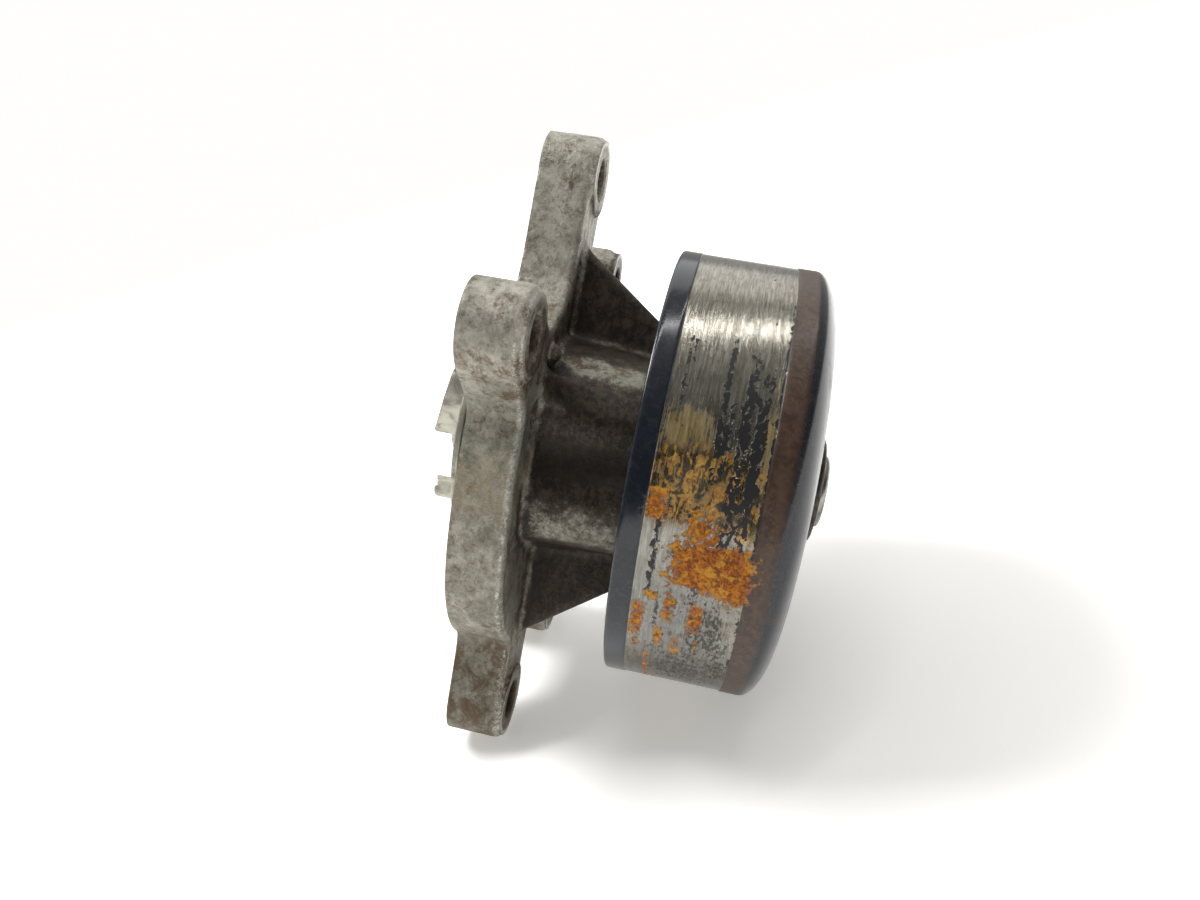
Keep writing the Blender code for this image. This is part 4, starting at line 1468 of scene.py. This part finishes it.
@dataclass
class BeltPulley:
    """Deep-drawn smooth pulley with its worn belt track."""

    sheet: float = 2.4
    band_x: float = 38.8
    track_end_x: float = 58.8
    shoulder_x: float = 62.7
    shoulder_width: float = 14.2
    wear: float = 0.15
    bore: float = 11.9
    steps: int = 400
    stray_count: int = 34
    stray_seed: int = 11

    @property
    def outer(self) -> float:
        """Give the pulley's outer radius."""
        return Extent.of("pulley").radius

    def strays(self) -> list[Stain]:
        """Scatter more wear over the rest of the track."""
        draw = random.Random(self.stray_seed)
        kinds = (Mark.FLECK, Mark.PATCH, Mark.RUST, Mark.OCHRE)
        found = []
        for i in range(self.stray_count):
            mark = kinds[i % len(kinds)]
            wide = 0.5 if mark is Mark.FLECK else 1.8
            found.append(Stain(
                mark, draw.uniform(236.0, 440.0), draw.uniform(self.band_x + 1.5, self.track_end_x - 1.5),
                draw.uniform(5.0, 15.0), draw.uniform(0.6, 1.6) * wide, draw.uniform(0.42, 0.62),
            ))
        return found

    def shoulder(self, inset: float, front: float, start: float, points: int) -> list[Corner]:
        """Give the quarter ellipse that rounds the front edge, from the face out to the rim."""
        outer = self.outer - inset
        width = self.shoulder_width - inset
        turns = [math.pi / 2.0 * i / (points - 1) for i in range(points)]
        return [
            (start + (front - start) * math.cos(turn), outer - width + width * math.sin(turn))
            for turn in turns
        ]

    def build(self) -> None:
        """Make the pulley and hand it to the frame."""
        place = Extent.of("pulley")
        rear, front, sheet = place.rear, place.front, self.sheet
        worn = self.outer - self.wear
        profile: list[Corner] = [(front, self.bore, 0.3)]
        profile += self.shoulder(0.0, front, self.shoulder_x, 26)
        profile += [
            (self.track_end_x + 0.05, self.outer, 0.0),
            (self.track_end_x - 0.20, worn, 0.1),
            (self.band_x + 0.20, worn, 0.1),
            (self.band_x - 0.05, self.outer, 0.0),
            (rear, self.outer, 0.7),
            (rear, self.outer - sheet, 0.5),
        ]
        profile += reversed(self.shoulder(sheet, front - sheet, self.shoulder_x - 0.6, 20))
        profile.append((front - sheet, self.bore, 0.3))
        mesh = TurnedShape("belt_pulley", tuple(profile), True, self.steps, 0.55, 4).mesh()
        x, y, z = (vertex_places(mesh) / MM).T
        angle = np.degrees(np.arctan2(z, y))
        stains = [Stain(mark, *row) for mark, rows in STAINS.items() for row in rows]
        stains += self.strays()
        for mark in Mark:
            value = np.zeros(len(x))
            for stain in stains:
                if stain.mark is mark:
                    value = np.maximum(value, stain.on(angle, x))
            store(mesh, mark.value, np.where(np.hypot(y, z) > self.outer - 1.0, value, 0.0))
        finish = PulleyFinish(
            "worn_pulley", self.band_x, self.track_end_x, self.shoulder_x, self.outer - 1.2
        )
        settle(show(mesh, finish.make()), "rotor", "pulley_coating", "pulley")


# Shaft, hub and bearing ------------------------------------------------------------------------
@dataclass
class TurnedGroup:
    """A sub-assembly that is mostly turned pieces."""

    book: FinishBook

    def turned(
        self, name: str, node: str, body: str, slot: str, kind: FinishKind,
        profile: Sequence[Corner], closed: bool = True,
    ) -> None:
        """Turn a piece that stands for one CAD node and hand it over.

        Args:
            name: Name of the piece.
            node: The CAD node that it stands for.
            body: The body that it moves with.
            slot: The record's material slot.
            kind: Its finish.
            profile: The corners of its section.
            closed: Whether the section is a loop.
        """
        mesh = TurnedShape(name, tuple(profile), closed).mesh()
        settle(show(mesh, self.book.take(kind)), body, slot, node)


@dataclass
class ShaftBearing(TurnedGroup):
    """Shaft with its hub, and the two-row bearing that carries it."""

    shaft_radius: float = 7.95
    seat_radius: float = 6.3
    step_x: float = -1.6
    clear: float = 0.3
    ball_radius: float = 2.6
    hub_flange: float = 17.0
    hub_flange_front: float = 65.6
    ball_count: int = 7

    def build_shaft(self) -> None:
        """Make the shaft, with a centre drilled in its front end."""
        place = Extent.of("shaft")
        profile = (
            (place.front - 3.4, 0.0), (place.front - 0.9, 1.5), (place.front, 2.4, 0.2),
            (place.front, self.shaft_radius, 1.1), (self.step_x, self.shaft_radius, 0.3),
            (self.step_x, self.seat_radius, 0.2), (place.rear, self.seat_radius, 0.8), (place.rear, 0.0),
        )
        self.turned("pump_shaft", "shaft", "rotor", "bearing_steel", FinishKind.GROUND_STEEL, profile, False)

    def build_hub(self) -> None:
        """Make the pressed hub with its flange behind the pulley's face."""
        place = Extent.of("pulley_hub")
        outer = self.hub_flange - 5.4
        bore = self.shaft_radius + self.clear
        profile = (
            (place.front, bore, 0.6), (place.front, outer, 0.9), (self.hub_flange_front, outer, 0.3),
            (self.hub_flange_front, self.hub_flange, 0.4),
            (self.hub_flange_front - 2.2, self.hub_flange, 0.4), (place.rear, outer, 0.5),
            (place.rear, bore, 0.3),
        )
        self.turned("drive_hub", "pulley_hub", "rotor", "hub_steel", FinishKind.HUB_STEEL, profile)

    def build_race(self) -> None:
        """Make the outer race and its lip seals."""
        place = Extent.of("bearing_outer_race")
        inner = self.shaft_radius + 2.0 * (self.clear + self.ball_radius)
        profile = (
            (place.front, inner, 0.2), (place.front, place.radius, 0.9), (place.rear, place.radius, 0.9),
            (place.rear, inner, 0.2),
        )
        steel = FinishKind.GROUND_STEEL
        self.turned("outer_race", "bearing_outer_race", "housing", "bearing_steel", steel, profile)
        for side in ("rear", "front"):
            node, name = f"bearing_seal_{side}", f"{side}_lip_seal"
            seal = Extent.of(node)
            low, high = self.shaft_radius + self.clear, seal.radius
            middle = (seal.rear + seal.front) / 2.0
            lip = (
                (seal.front, low + 1.2, 0.2), (seal.front, high, 0.3), (seal.rear, high, 0.3),
                (seal.rear, low + 1.2, 0.2), (middle - 0.2, low, 0.1), (middle + 0.2, low, 0.1),
            )
            self.turned(name, node, "housing", "seal_rubber", FinishKind.RUBBER, lip)

    def ball_tree(self, x: float) -> GrowthTree:
        """Write the tree that sets polished balls round the shaft at one axial place."""
        tree = GrowthTree("ball_row", {
            "Balls": self.ball_count,
            "Pitch radius": (self.shaft_radius + self.clear + self.ball_radius) * MM,
            "Ball radius": self.ball_radius * MM,
            "Place": x * MM,
        })
        turn = tree.turn_of_index("Balls")
        pitch = tree.size("Pitch radius")
        y = tree.calculate("MULTIPLY", tree.calculate("COSINE", turn), pitch)
        z = tree.calculate("MULTIPLY", tree.calculate("SINE", turn), pitch)
        spot = tree.add("ShaderNodeCombineXYZ", {}, {0: tree.size("Place"), 1: y, 2: z})
        points = tree.add("GeometryNodePoints", {}, {"Count": tree.size("Balls"), "Position": spot})
        ball = tree.add(
            "GeometryNodeMeshUVSphere", {}, {"Segments": 32, "Rings": 20, "Radius": tree.size("Ball radius")}
        )
        tree.close(tree.add("GeometryNodeInstanceOnPoints", {}, {"Points": points, "Instance": ball}))
        return tree

    def build_rows(self) -> None:
        """Make both rows of balls and dress their cages."""
        for row in ("rear", "front"):
            nodes = [f"ball_{row}_{i + 1}" for i in range(self.ball_count)]
            low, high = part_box(nodes[0])
            tree = self.ball_tree((low.x + high.x) / 2.0 / MM)
            balls = tree.grow(f"{row}_balls", self.book.take(FinishKind.BALL_STEEL))
            settle(balls, f"{row}_ball_row", "ball_steel", *nodes)
            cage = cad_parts[f"ball_cage_{row}"]
            cage.data.materials.clear()
            cage.data.materials.append(self.book.take(FinishKind.MOULDED_CAGE))

    def build(self) -> None:
        """Make the shaft, the hub and the bearing."""
        self.build_shaft()
        self.build_hub()
        self.build_race()
        self.build_rows()


# Face seal -------------------------------------------------------------------------------------
@dataclass
class FaceSeal(TurnedGroup):
    """Spring-loaded carbon ring in a pressed case, running on a ceramic seat."""

    inner: float = 9.45
    wall: float = 0.8
    wire: float = 0.6
    coil_radius: float = 14.6
    coil_turns: float = 3.5

    def build_case(self) -> None:
        """Make the pressed case and the bellows inside it."""
        case = Extent.of("seal_case")
        floor = case.front - self.wall
        profile = (
            (case.front, self.inner, 0.3), (case.front, case.radius, 1.1),
            (case.rear, case.radius, 0.3), (case.rear, case.radius - self.wall, 0.3),
            (floor, case.radius - self.wall, 0.5), (floor, self.inner, 0.3),
        )
        self.turned("pressed_case", "seal_case", "housing", "seal_case", FinishKind.BRASS_CASE, profile)
        bellows = Extent.of("seal_bellows")
        middle = (bellows.rear + bellows.front) / 2.0
        inner = self.inner
        fold = (
            (bellows.front, inner, 0.3), (bellows.front, inner + 2.2, 0.5), (middle + 1.4, inner + 1.2, 0.5),
            (middle, inner + 3.4, 0.7), (middle - 1.4, inner + 1.2, 0.5), (bellows.rear, inner + 2.2, 0.5),
            (bellows.rear, inner, 0.3), (middle - 1.4, inner, 0.3), (middle, inner + 2.2, 0.5),
            (middle + 1.4, inner, 0.3),
        )
        self.turned("folded_bellows", "seal_bellows", "housing", "seal_rubber", FinishKind.RUBBER, fold)

    def build_rings(self) -> None:
        """Make the carbon ring, the ceramic seat with its cup, and the slinger."""
        carbon = Extent.of("carbon_ring")
        face = carbon.rear
        profile = (
            (carbon.front, self.inner, 0.2), (carbon.front, carbon.radius, 0.5),
            (face + 1.4, carbon.radius, 0.2), (face + 1.2, carbon.radius - 0.8, 0.2),
            (face, carbon.radius - 0.8, 0.1), (face, self.inner + 0.6, 0.1),
            (face + 1.2, self.inner, 0.2),
        )
        self.turned("carbon_face", "carbon_ring", "housing", "carbon", FinishKind.CARBON, profile)
        cup = Extent.of("seat_cup")
        seat = Extent.of("seal_seat")
        hold = cup.radius + self.clearance
        profile = (
            (seat.front, hold, 0.3), (seat.front, seat.radius, 0.5), (seat.rear, seat.radius, 0.5),
            (seat.rear, hold, 0.3),
        )
        self.turned("ceramic_ring", "seal_seat", "rotor", "ceramic_face", FinishKind.CERAMIC, profile)
        low = cup.radius - 0.7
        profile = (
            (cup.front, low, 0.15), (cup.front, cup.radius, 0.2), (cup.rear, cup.radius, 0.2),
            (cup.rear, low, 0.15),
        )
        self.turned("rubber_cup", "seat_cup", "rotor", "seal_rubber", FinishKind.RUBBER, profile)
        ring = Extent.of("slinger")
        profile = (
            (ring.front, low, 0.2), (ring.front, low + 1.2, 0.3), (ring.front - 1.2, low + 1.2, 0.4),
            (ring.front - 2.2, ring.radius, 0.3), (ring.rear, ring.radius, 0.3), (ring.rear, low, 0.2),
        )
        self.turned("slinger_ring", "slinger", "rotor", "seal_rubber", FinishKind.RUBBER, profile)

    @property
    def clearance(self) -> float:
        """Gap between the seat and its cup."""
        return 0.3

    def build_coil(self) -> None:
        """Grow the coil spring along its axis."""
        low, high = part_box("seal_spring")
        start, end = low.x + self.wire * MM, high.x - self.wire * MM
        tree = GrowthTree("coil_spring", {
            "Turns": self.coil_turns,
            "Coil radius": self.coil_radius * MM,
            "Wire radius": self.wire * MM,
            "Length": end - start,
            "Start": start,
        })
        line = tree.add("GeometryNodeCurveSpiral", {}, {
            "Resolution": 48, "Rotations": tree.size("Turns"), "Start Radius": tree.size("Coil radius"),
            "End Radius": tree.size("Coil radius"), "Height": tree.size("Length"),
        })
        shift = tree.add("ShaderNodeCombineXYZ", {}, {0: tree.size("Start")})
        placed = tree.add("GeometryNodeTransform", {}, {
            "Geometry": line, "Translation": shift, "Rotation": (0.0, math.pi / 2.0, 0.0),
        })
        wire = tree.add(
            "GeometryNodeCurvePrimitiveCircle", {}, {"Resolution": 12, "Radius": tree.size("Wire radius")}
        )
        tree.close(tree.add(
            "GeometryNodeCurveToMesh", {}, {"Curve": placed, "Profile Curve": wire, "Fill Caps": True}
        ))
        coil = tree.grow("coil_spring", self.book.take(FinishKind.SPRING_STEEL))
        if signed_volume(coil.data) < 0.0:
            coil.data.flip_normals()
        settle(coil, "housing", "spring_steel", "seal_spring")

    def build(self) -> None:
        """Make every piece of the seal."""
        self.build_case()
        self.build_rings()
        self.build_coil()


# Impeller --------------------------------------------------------------------------------------
@dataclass
class Impeller:
    """Stamped wheel: a dished disc with a drawn collar, and swept vanes bent up from the sheet."""

    book: FinishBook
    sheet: float = 1.6
    front_x: float = -1.8
    collar_bore: float = 6.6
    collar_wall: float = 1.6
    collar_rear_x: float = -8.6
    vanes: int = 6
    vane_inner: float = 13.5
    vane_inner_x: float = -11.4
    vane_outer_x: float = -7.0
    sweep: float = -33.0
    sweep_power: float = 1.3
    phase: float = 162.0
    vane_edge: float = 0.6
    columns: int = 28
    corner: float = 0.45

    def vane(self, outer: float) -> bpy.types.Mesh:
        """Make one vane: a rounded strip swept along its curve, with both ends closed."""
        half = self.sheet / 2.0
        root = self.front_x - half
        edge = self.corner
        sections = []
        for i in range(self.columns + 1):
            share = i / self.columns
            radius = self.vane_inner + (outer - self.vane_edge - self.vane_inner) * share
            middle = np.array(on_circle(self.sweep * share**self.sweep_power, radius))
            ahead_share = min(share + 0.01, 1.0)
            back_share = ahead_share - 0.02
            ends = []
            for spot in (max(back_share, 0.0), ahead_share):
                reach = self.vane_inner + (outer - self.vane_edge - self.vane_inner) * spot
                ends.append(np.array(on_circle(self.sweep * spot**self.sweep_power, reach)))
            run = ends[1] - ends[0]
            run /= np.linalg.norm(run)
            across = np.array([-run[1], run[0]])
            tip = self.vane_inner_x + (self.vane_outer_x - self.vane_inner_x) * share
            squeeze = 1.0 - 0.35 * (i in (0, self.columns))
            ring = (
                (root, -1.0), (tip + 2.0 * edge, -1.0), (tip + 0.6 * edge, -0.85), (tip, -0.45),
                (tip, 0.45), (tip + 0.6 * edge, 0.85), (tip + 2.0 * edge, 1.0), (root, 1.0),
            )
            for x, side in ring:
                y, z = middle + across * side * half * squeeze
                sections.append((x, y, z))
        count = 8
        faces = [tuple(range(count)), tuple(reversed(range(self.columns * count, len(sections))))]
        for i in range(self.columns):
            for j in range(count):
                a, b = i * count + j, i * count + (j + 1) % count
                faces.append((b, a, a + count, b + count))
        return new_mesh("vane", np.array(sections), faces)

    def vane_tree(self) -> GrowthTree:
        """Write the tree that repeats the vane round the shaft."""
        tree = GrowthTree("vane_ring", {"Vanes": self.vanes, "Phase": math.radians(self.phase)})
        turn = tree.calculate("ADD", tree.turn_of_index("Vanes"), tree.size("Phase"))
        spin = tree.add("ShaderNodeCombineXYZ", {}, {0: turn})
        points = tree.add("GeometryNodePoints", {}, {"Count": tree.size("Vanes")})
        tree.close(tree.add("GeometryNodeInstanceOnPoints", {}, {
            "Points": points, "Instance": tree.source.outputs["Geometry"], "Rotation": spin,
        }))
        return tree

    def build(self) -> None:
        """Make the wheel and its vanes and hand them over."""
        outer = Extent.of("impeller").radius
        zinc = self.book.take(FinishKind.ZINC_SHEET)
        back_x = self.front_x - self.sheet
        wall = self.collar_bore + self.collar_wall
        profile = (
            (self.front_x, self.collar_bore, 0.8), (self.front_x, outer, 0.5), (back_x, outer, 0.5),
            (back_x, wall, 1.6), (self.collar_rear_x, wall, 0.4),
            (self.collar_rear_x, self.collar_bore, 0.3),
        )
        wheel = show(TurnedShape("impeller_wheel", profile, True, 160, 1.5, 6).mesh(), zinc)
        settle(wheel, "rotor", "impeller_zinc", "impeller")
        vanes = self.vane_tree().grow("impeller_vanes", zinc, self.vane(outer))
        vanes.data.set_sharp_from_angle(angle=SHARP_ANGLE)
        settle(vanes, "rotor", "impeller_zinc", "impeller")


# Studio ----------------------------------------------------------------------------------------
@dataclass(frozen=True)
class Lamp:
    """A soft lamp.

    Attributes:
        name: Its name.
        direction: From the pump towards the lamp.
        distance: Distance from the pump, in metres.
        size: Length and width, in metres.
        power: Power in watts.
    """

    name: str
    direction: Point
    distance: float
    size: tuple[float, float]
    power: float


@dataclass
class Studio:
    """Pale floor, soft light and camera. The pump leans on its foot ears and its pulley."""

    ear_front_x: float = 12.3
    ear_round: float = 0.4
    shoulder_x: float = 62.7
    shoulder_width: float = 14.2
    floor_radius: float = 2.2
    glow_start: float = 90.0
    glow_end: float = 420.0
    lens: float = 27.03
    camera_place: Point = (49.06, -182.34, 88.93)
    camera_right: Point = (0.97483, 0.19246, 0.11250)
    camera_down: Point = (0.18404, -0.40999, -0.89333)
    camera_ahead: Point = (-0.12581, 0.89155, -0.43509)
    lit_x: float = 30.0
    lamps: tuple[Lamp, ...] = (
        Lamp("key_light", (-0.80, 0.08, 0.60), 0.75, (0.26, 0.26), 4.5),
        Lamp("back_light", (-0.35, 0.72, 0.70), 1.0, (1.1, 0.6), 2.2),
        Lamp("strip_light", (-0.1, 0.09, 1.0), 1.0, (1.1, 0.03), 2.4),
    )
    lean: Point = (-0.52, 0.72, 0.30)
    dim_stop: float = 0.32
    bright_stop: float = 0.66
    bright: Colour = (0.42, 0.415, 0.40)
    dim: Colour = (0.05, 0.05, 0.052)
    glow: Colour = (0.35, 0.347, 0.335)
    backdrop: Colour = (1.0, 0.995, 0.98)

    def rest_slope(self) -> tuple[float, float]:
        """Find the plane under the foot ears and the pulley.

        Returns:
            The height at the ears' front edge and the rise along the shaft.
        """
        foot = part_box("pump_body")[0].z / MM + self.ear_round
        pulley = Extent.of("pulley")
        slopes = []
        for i in range(40):
            turn = math.pi / 2.0 * i / 39
            x = self.shoulder_x + (pulley.front - self.shoulder_x) * math.cos(turn)
            radius = pulley.radius - self.shoulder_width * (1.0 - math.sin(turn))
            slopes.append((-radius - foot) / (x - self.ear_front_x))
        return foot, min(slopes)

    def floor_finish(self) -> bpy.types.Material:
        """Write the floor's material: pale, matte, glowing, and clear when seen from below."""
        tree = MaterialTree("pale_floor")
        cloud = tree.noise(60.0, 3.0, 0.5)
        grain = tree.noise(0.9, 3.0, 0.6)
        colour = tree.blend(cloud.rise(0.3, 0.7), (0.89, 0.885, 0.87), (0.93, 0.925, 0.91))
        reach = tree.add("ShaderNodeVectorMath", {"operation": "LENGTH"}, {0: tree.place}, "Value")
        # Painted light: the floor glows, dimly near the pump, which lightens its shadows and lights the pump
        # from below, and fully far off, where it meets the backdrop.
        glow = tree.blend(reach.rise(self.glow_start, self.glow_end), self.glow, self.backdrop)
        tree.paint(
            base_color=colour, roughness=0.55 + grain * 0.2, normal=tree.bump(grain, 0.01),
            emission_color=glow, emission_strength=1.0,
        )
        behind = tree.add("ShaderNodeNewGeometry", {}, {}, "Backfacing")
        clear = tree.add("ShaderNodeBsdfTransparent", {}, {})
        either = tree.add(
            "ShaderNodeMixShader", {}, {0: behind, 1: Wire(tree, tree.shader.outputs[0]), 2: clear}
        )
        output = tree.nodes["Material Output"]
        tree.feed(output.inputs["Surface"], either)
        return tree.material

    def build_floor(self) -> None:
        """Lay the floor under the pump."""
        foot, rise = self.rest_slope()
        start = np.array([self.ear_front_x, 0.0, foot])
        along = np.array([1.0, 0.0, rise]) / math.hypot(1.0, rise)
        side = np.array([0.0, 1.0, 0.0])
        turns = np.linspace(0.0, 2.0 * math.pi, 96, endpoint=False)
        rim = start + self.floor_radius / MM * (
            np.cos(turns)[:, None] * along + np.sin(turns)[:, None] * side
        )
        mesh = bpy.data.meshes.new("pale_floor")
        mesh.from_pydata((rim * MM).tolist(), [], [tuple(range(len(turns)))])
        if mesh.polygons[0].normal.z < 0.0:
            mesh.flip_normals()
        show(mesh, self.floor_finish())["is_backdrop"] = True

    def build_world(self) -> None:
        """Surround the pump with soft light that comes mostly from behind, the left and above."""
        world = bpy.data.worlds.new("soft_studio")
        bpy.context.scene.world = world
        world.use_nodes = True
        nodes, links = world.node_tree.nodes, world.node_tree.links
        place = nodes.new("ShaderNodeTexCoord")
        lean = nodes.new("ShaderNodeVectorMath")
        lean.operation = "DOT_PRODUCT"
        lean.inputs[1].default_value = Vector(self.lean).normalized()
        links.new(place.outputs["Generated"], lean.inputs[0])
        ramp = nodes.new("ShaderNodeValToRGB")
        stops = ramp.color_ramp.elements
        stops[0].position, stops[0].color = self.dim_stop, (*self.dim, 1.0)
        stops[1].position, stops[1].color = self.bright_stop, (*self.bright, 1.0)
        shift = nodes.new("ShaderNodeMath")
        shift.operation = "MULTIPLY_ADD"
        shift.inputs[1].default_value = 0.5
        shift.inputs[2].default_value = 0.5
        links.new(lean.outputs["Value"], shift.inputs[0])
        links.new(shift.outputs[0], ramp.inputs[0])
        seen = nodes.new("ShaderNodeLightPath")
        choice = nodes.new("ShaderNodeMix")
        choice.data_type = "RGBA"
        links.new(seen.outputs["Is Camera Ray"], choice.inputs[0])
        links.new(ramp.outputs[0], choice.inputs[6])
        choice.inputs[7].default_value = (*self.backdrop, 1.0)
        links.new(choice.outputs[2], nodes["Background"].inputs["Color"])

    def hang(self, lamp: Lamp) -> None:
        """Hang a soft lamp that shines on the pump."""
        light = bpy.data.lights.new(lamp.name, "AREA")
        light.shape = "RECTANGLE"
        light.size, light.size_y = lamp.size
        light.energy = lamp.power
        holder = bpy.data.objects.new(lamp.name, light)
        bpy.context.scene.collection.objects.link(holder)
        toward = Vector(lamp.direction).normalized()
        place = Vector((self.lit_x * MM, 0.0, 0.0)) + toward * lamp.distance
        turn = toward.to_track_quat("Z", "Y").to_matrix().to_4x4()
        holder.matrix_world = Matrix.Translation(place) @ turn

    def build_camera(self) -> None:
        """Place the camera."""
        data = bpy.data.cameras.new("camera")
        data.lens = self.lens
        data.clip_start = 0.005
        camera = bpy.data.objects.new("camera", data)
        bpy.context.scene.collection.objects.link(camera)
        axes = (self.camera_right, self.camera_down, self.camera_ahead)
        right, down, ahead = (Vector(axis) for axis in axes)
        turn = Matrix((right, -down, -ahead)).transposed()
        camera.matrix_world = Matrix.Translation(Vector(self.camera_place) * MM) @ turn.to_4x4()
        bpy.context.scene.camera = camera

    def build(self) -> None:
        """Set up the whole studio."""
        self.build_camera()
        self.build_floor()
        self.build_world()
        bpy.context.scene.view_settings.view_transform = "Standard"
        for lamp in self.lamps:
            self.hang(lamp)


def main() -> None:
    """Build the pump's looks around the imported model."""
    logging.basicConfig(level=logging.INFO, format="%(message)s")
    book = FinishBook()
    Studio().build()
    CastHousing(book).build()
    BeltPulley().build()
    ShaftBearing(book).build()
    FaceSeal(book).build()
    Impeller(book).build()


if __name__ == "__main__":
    main()
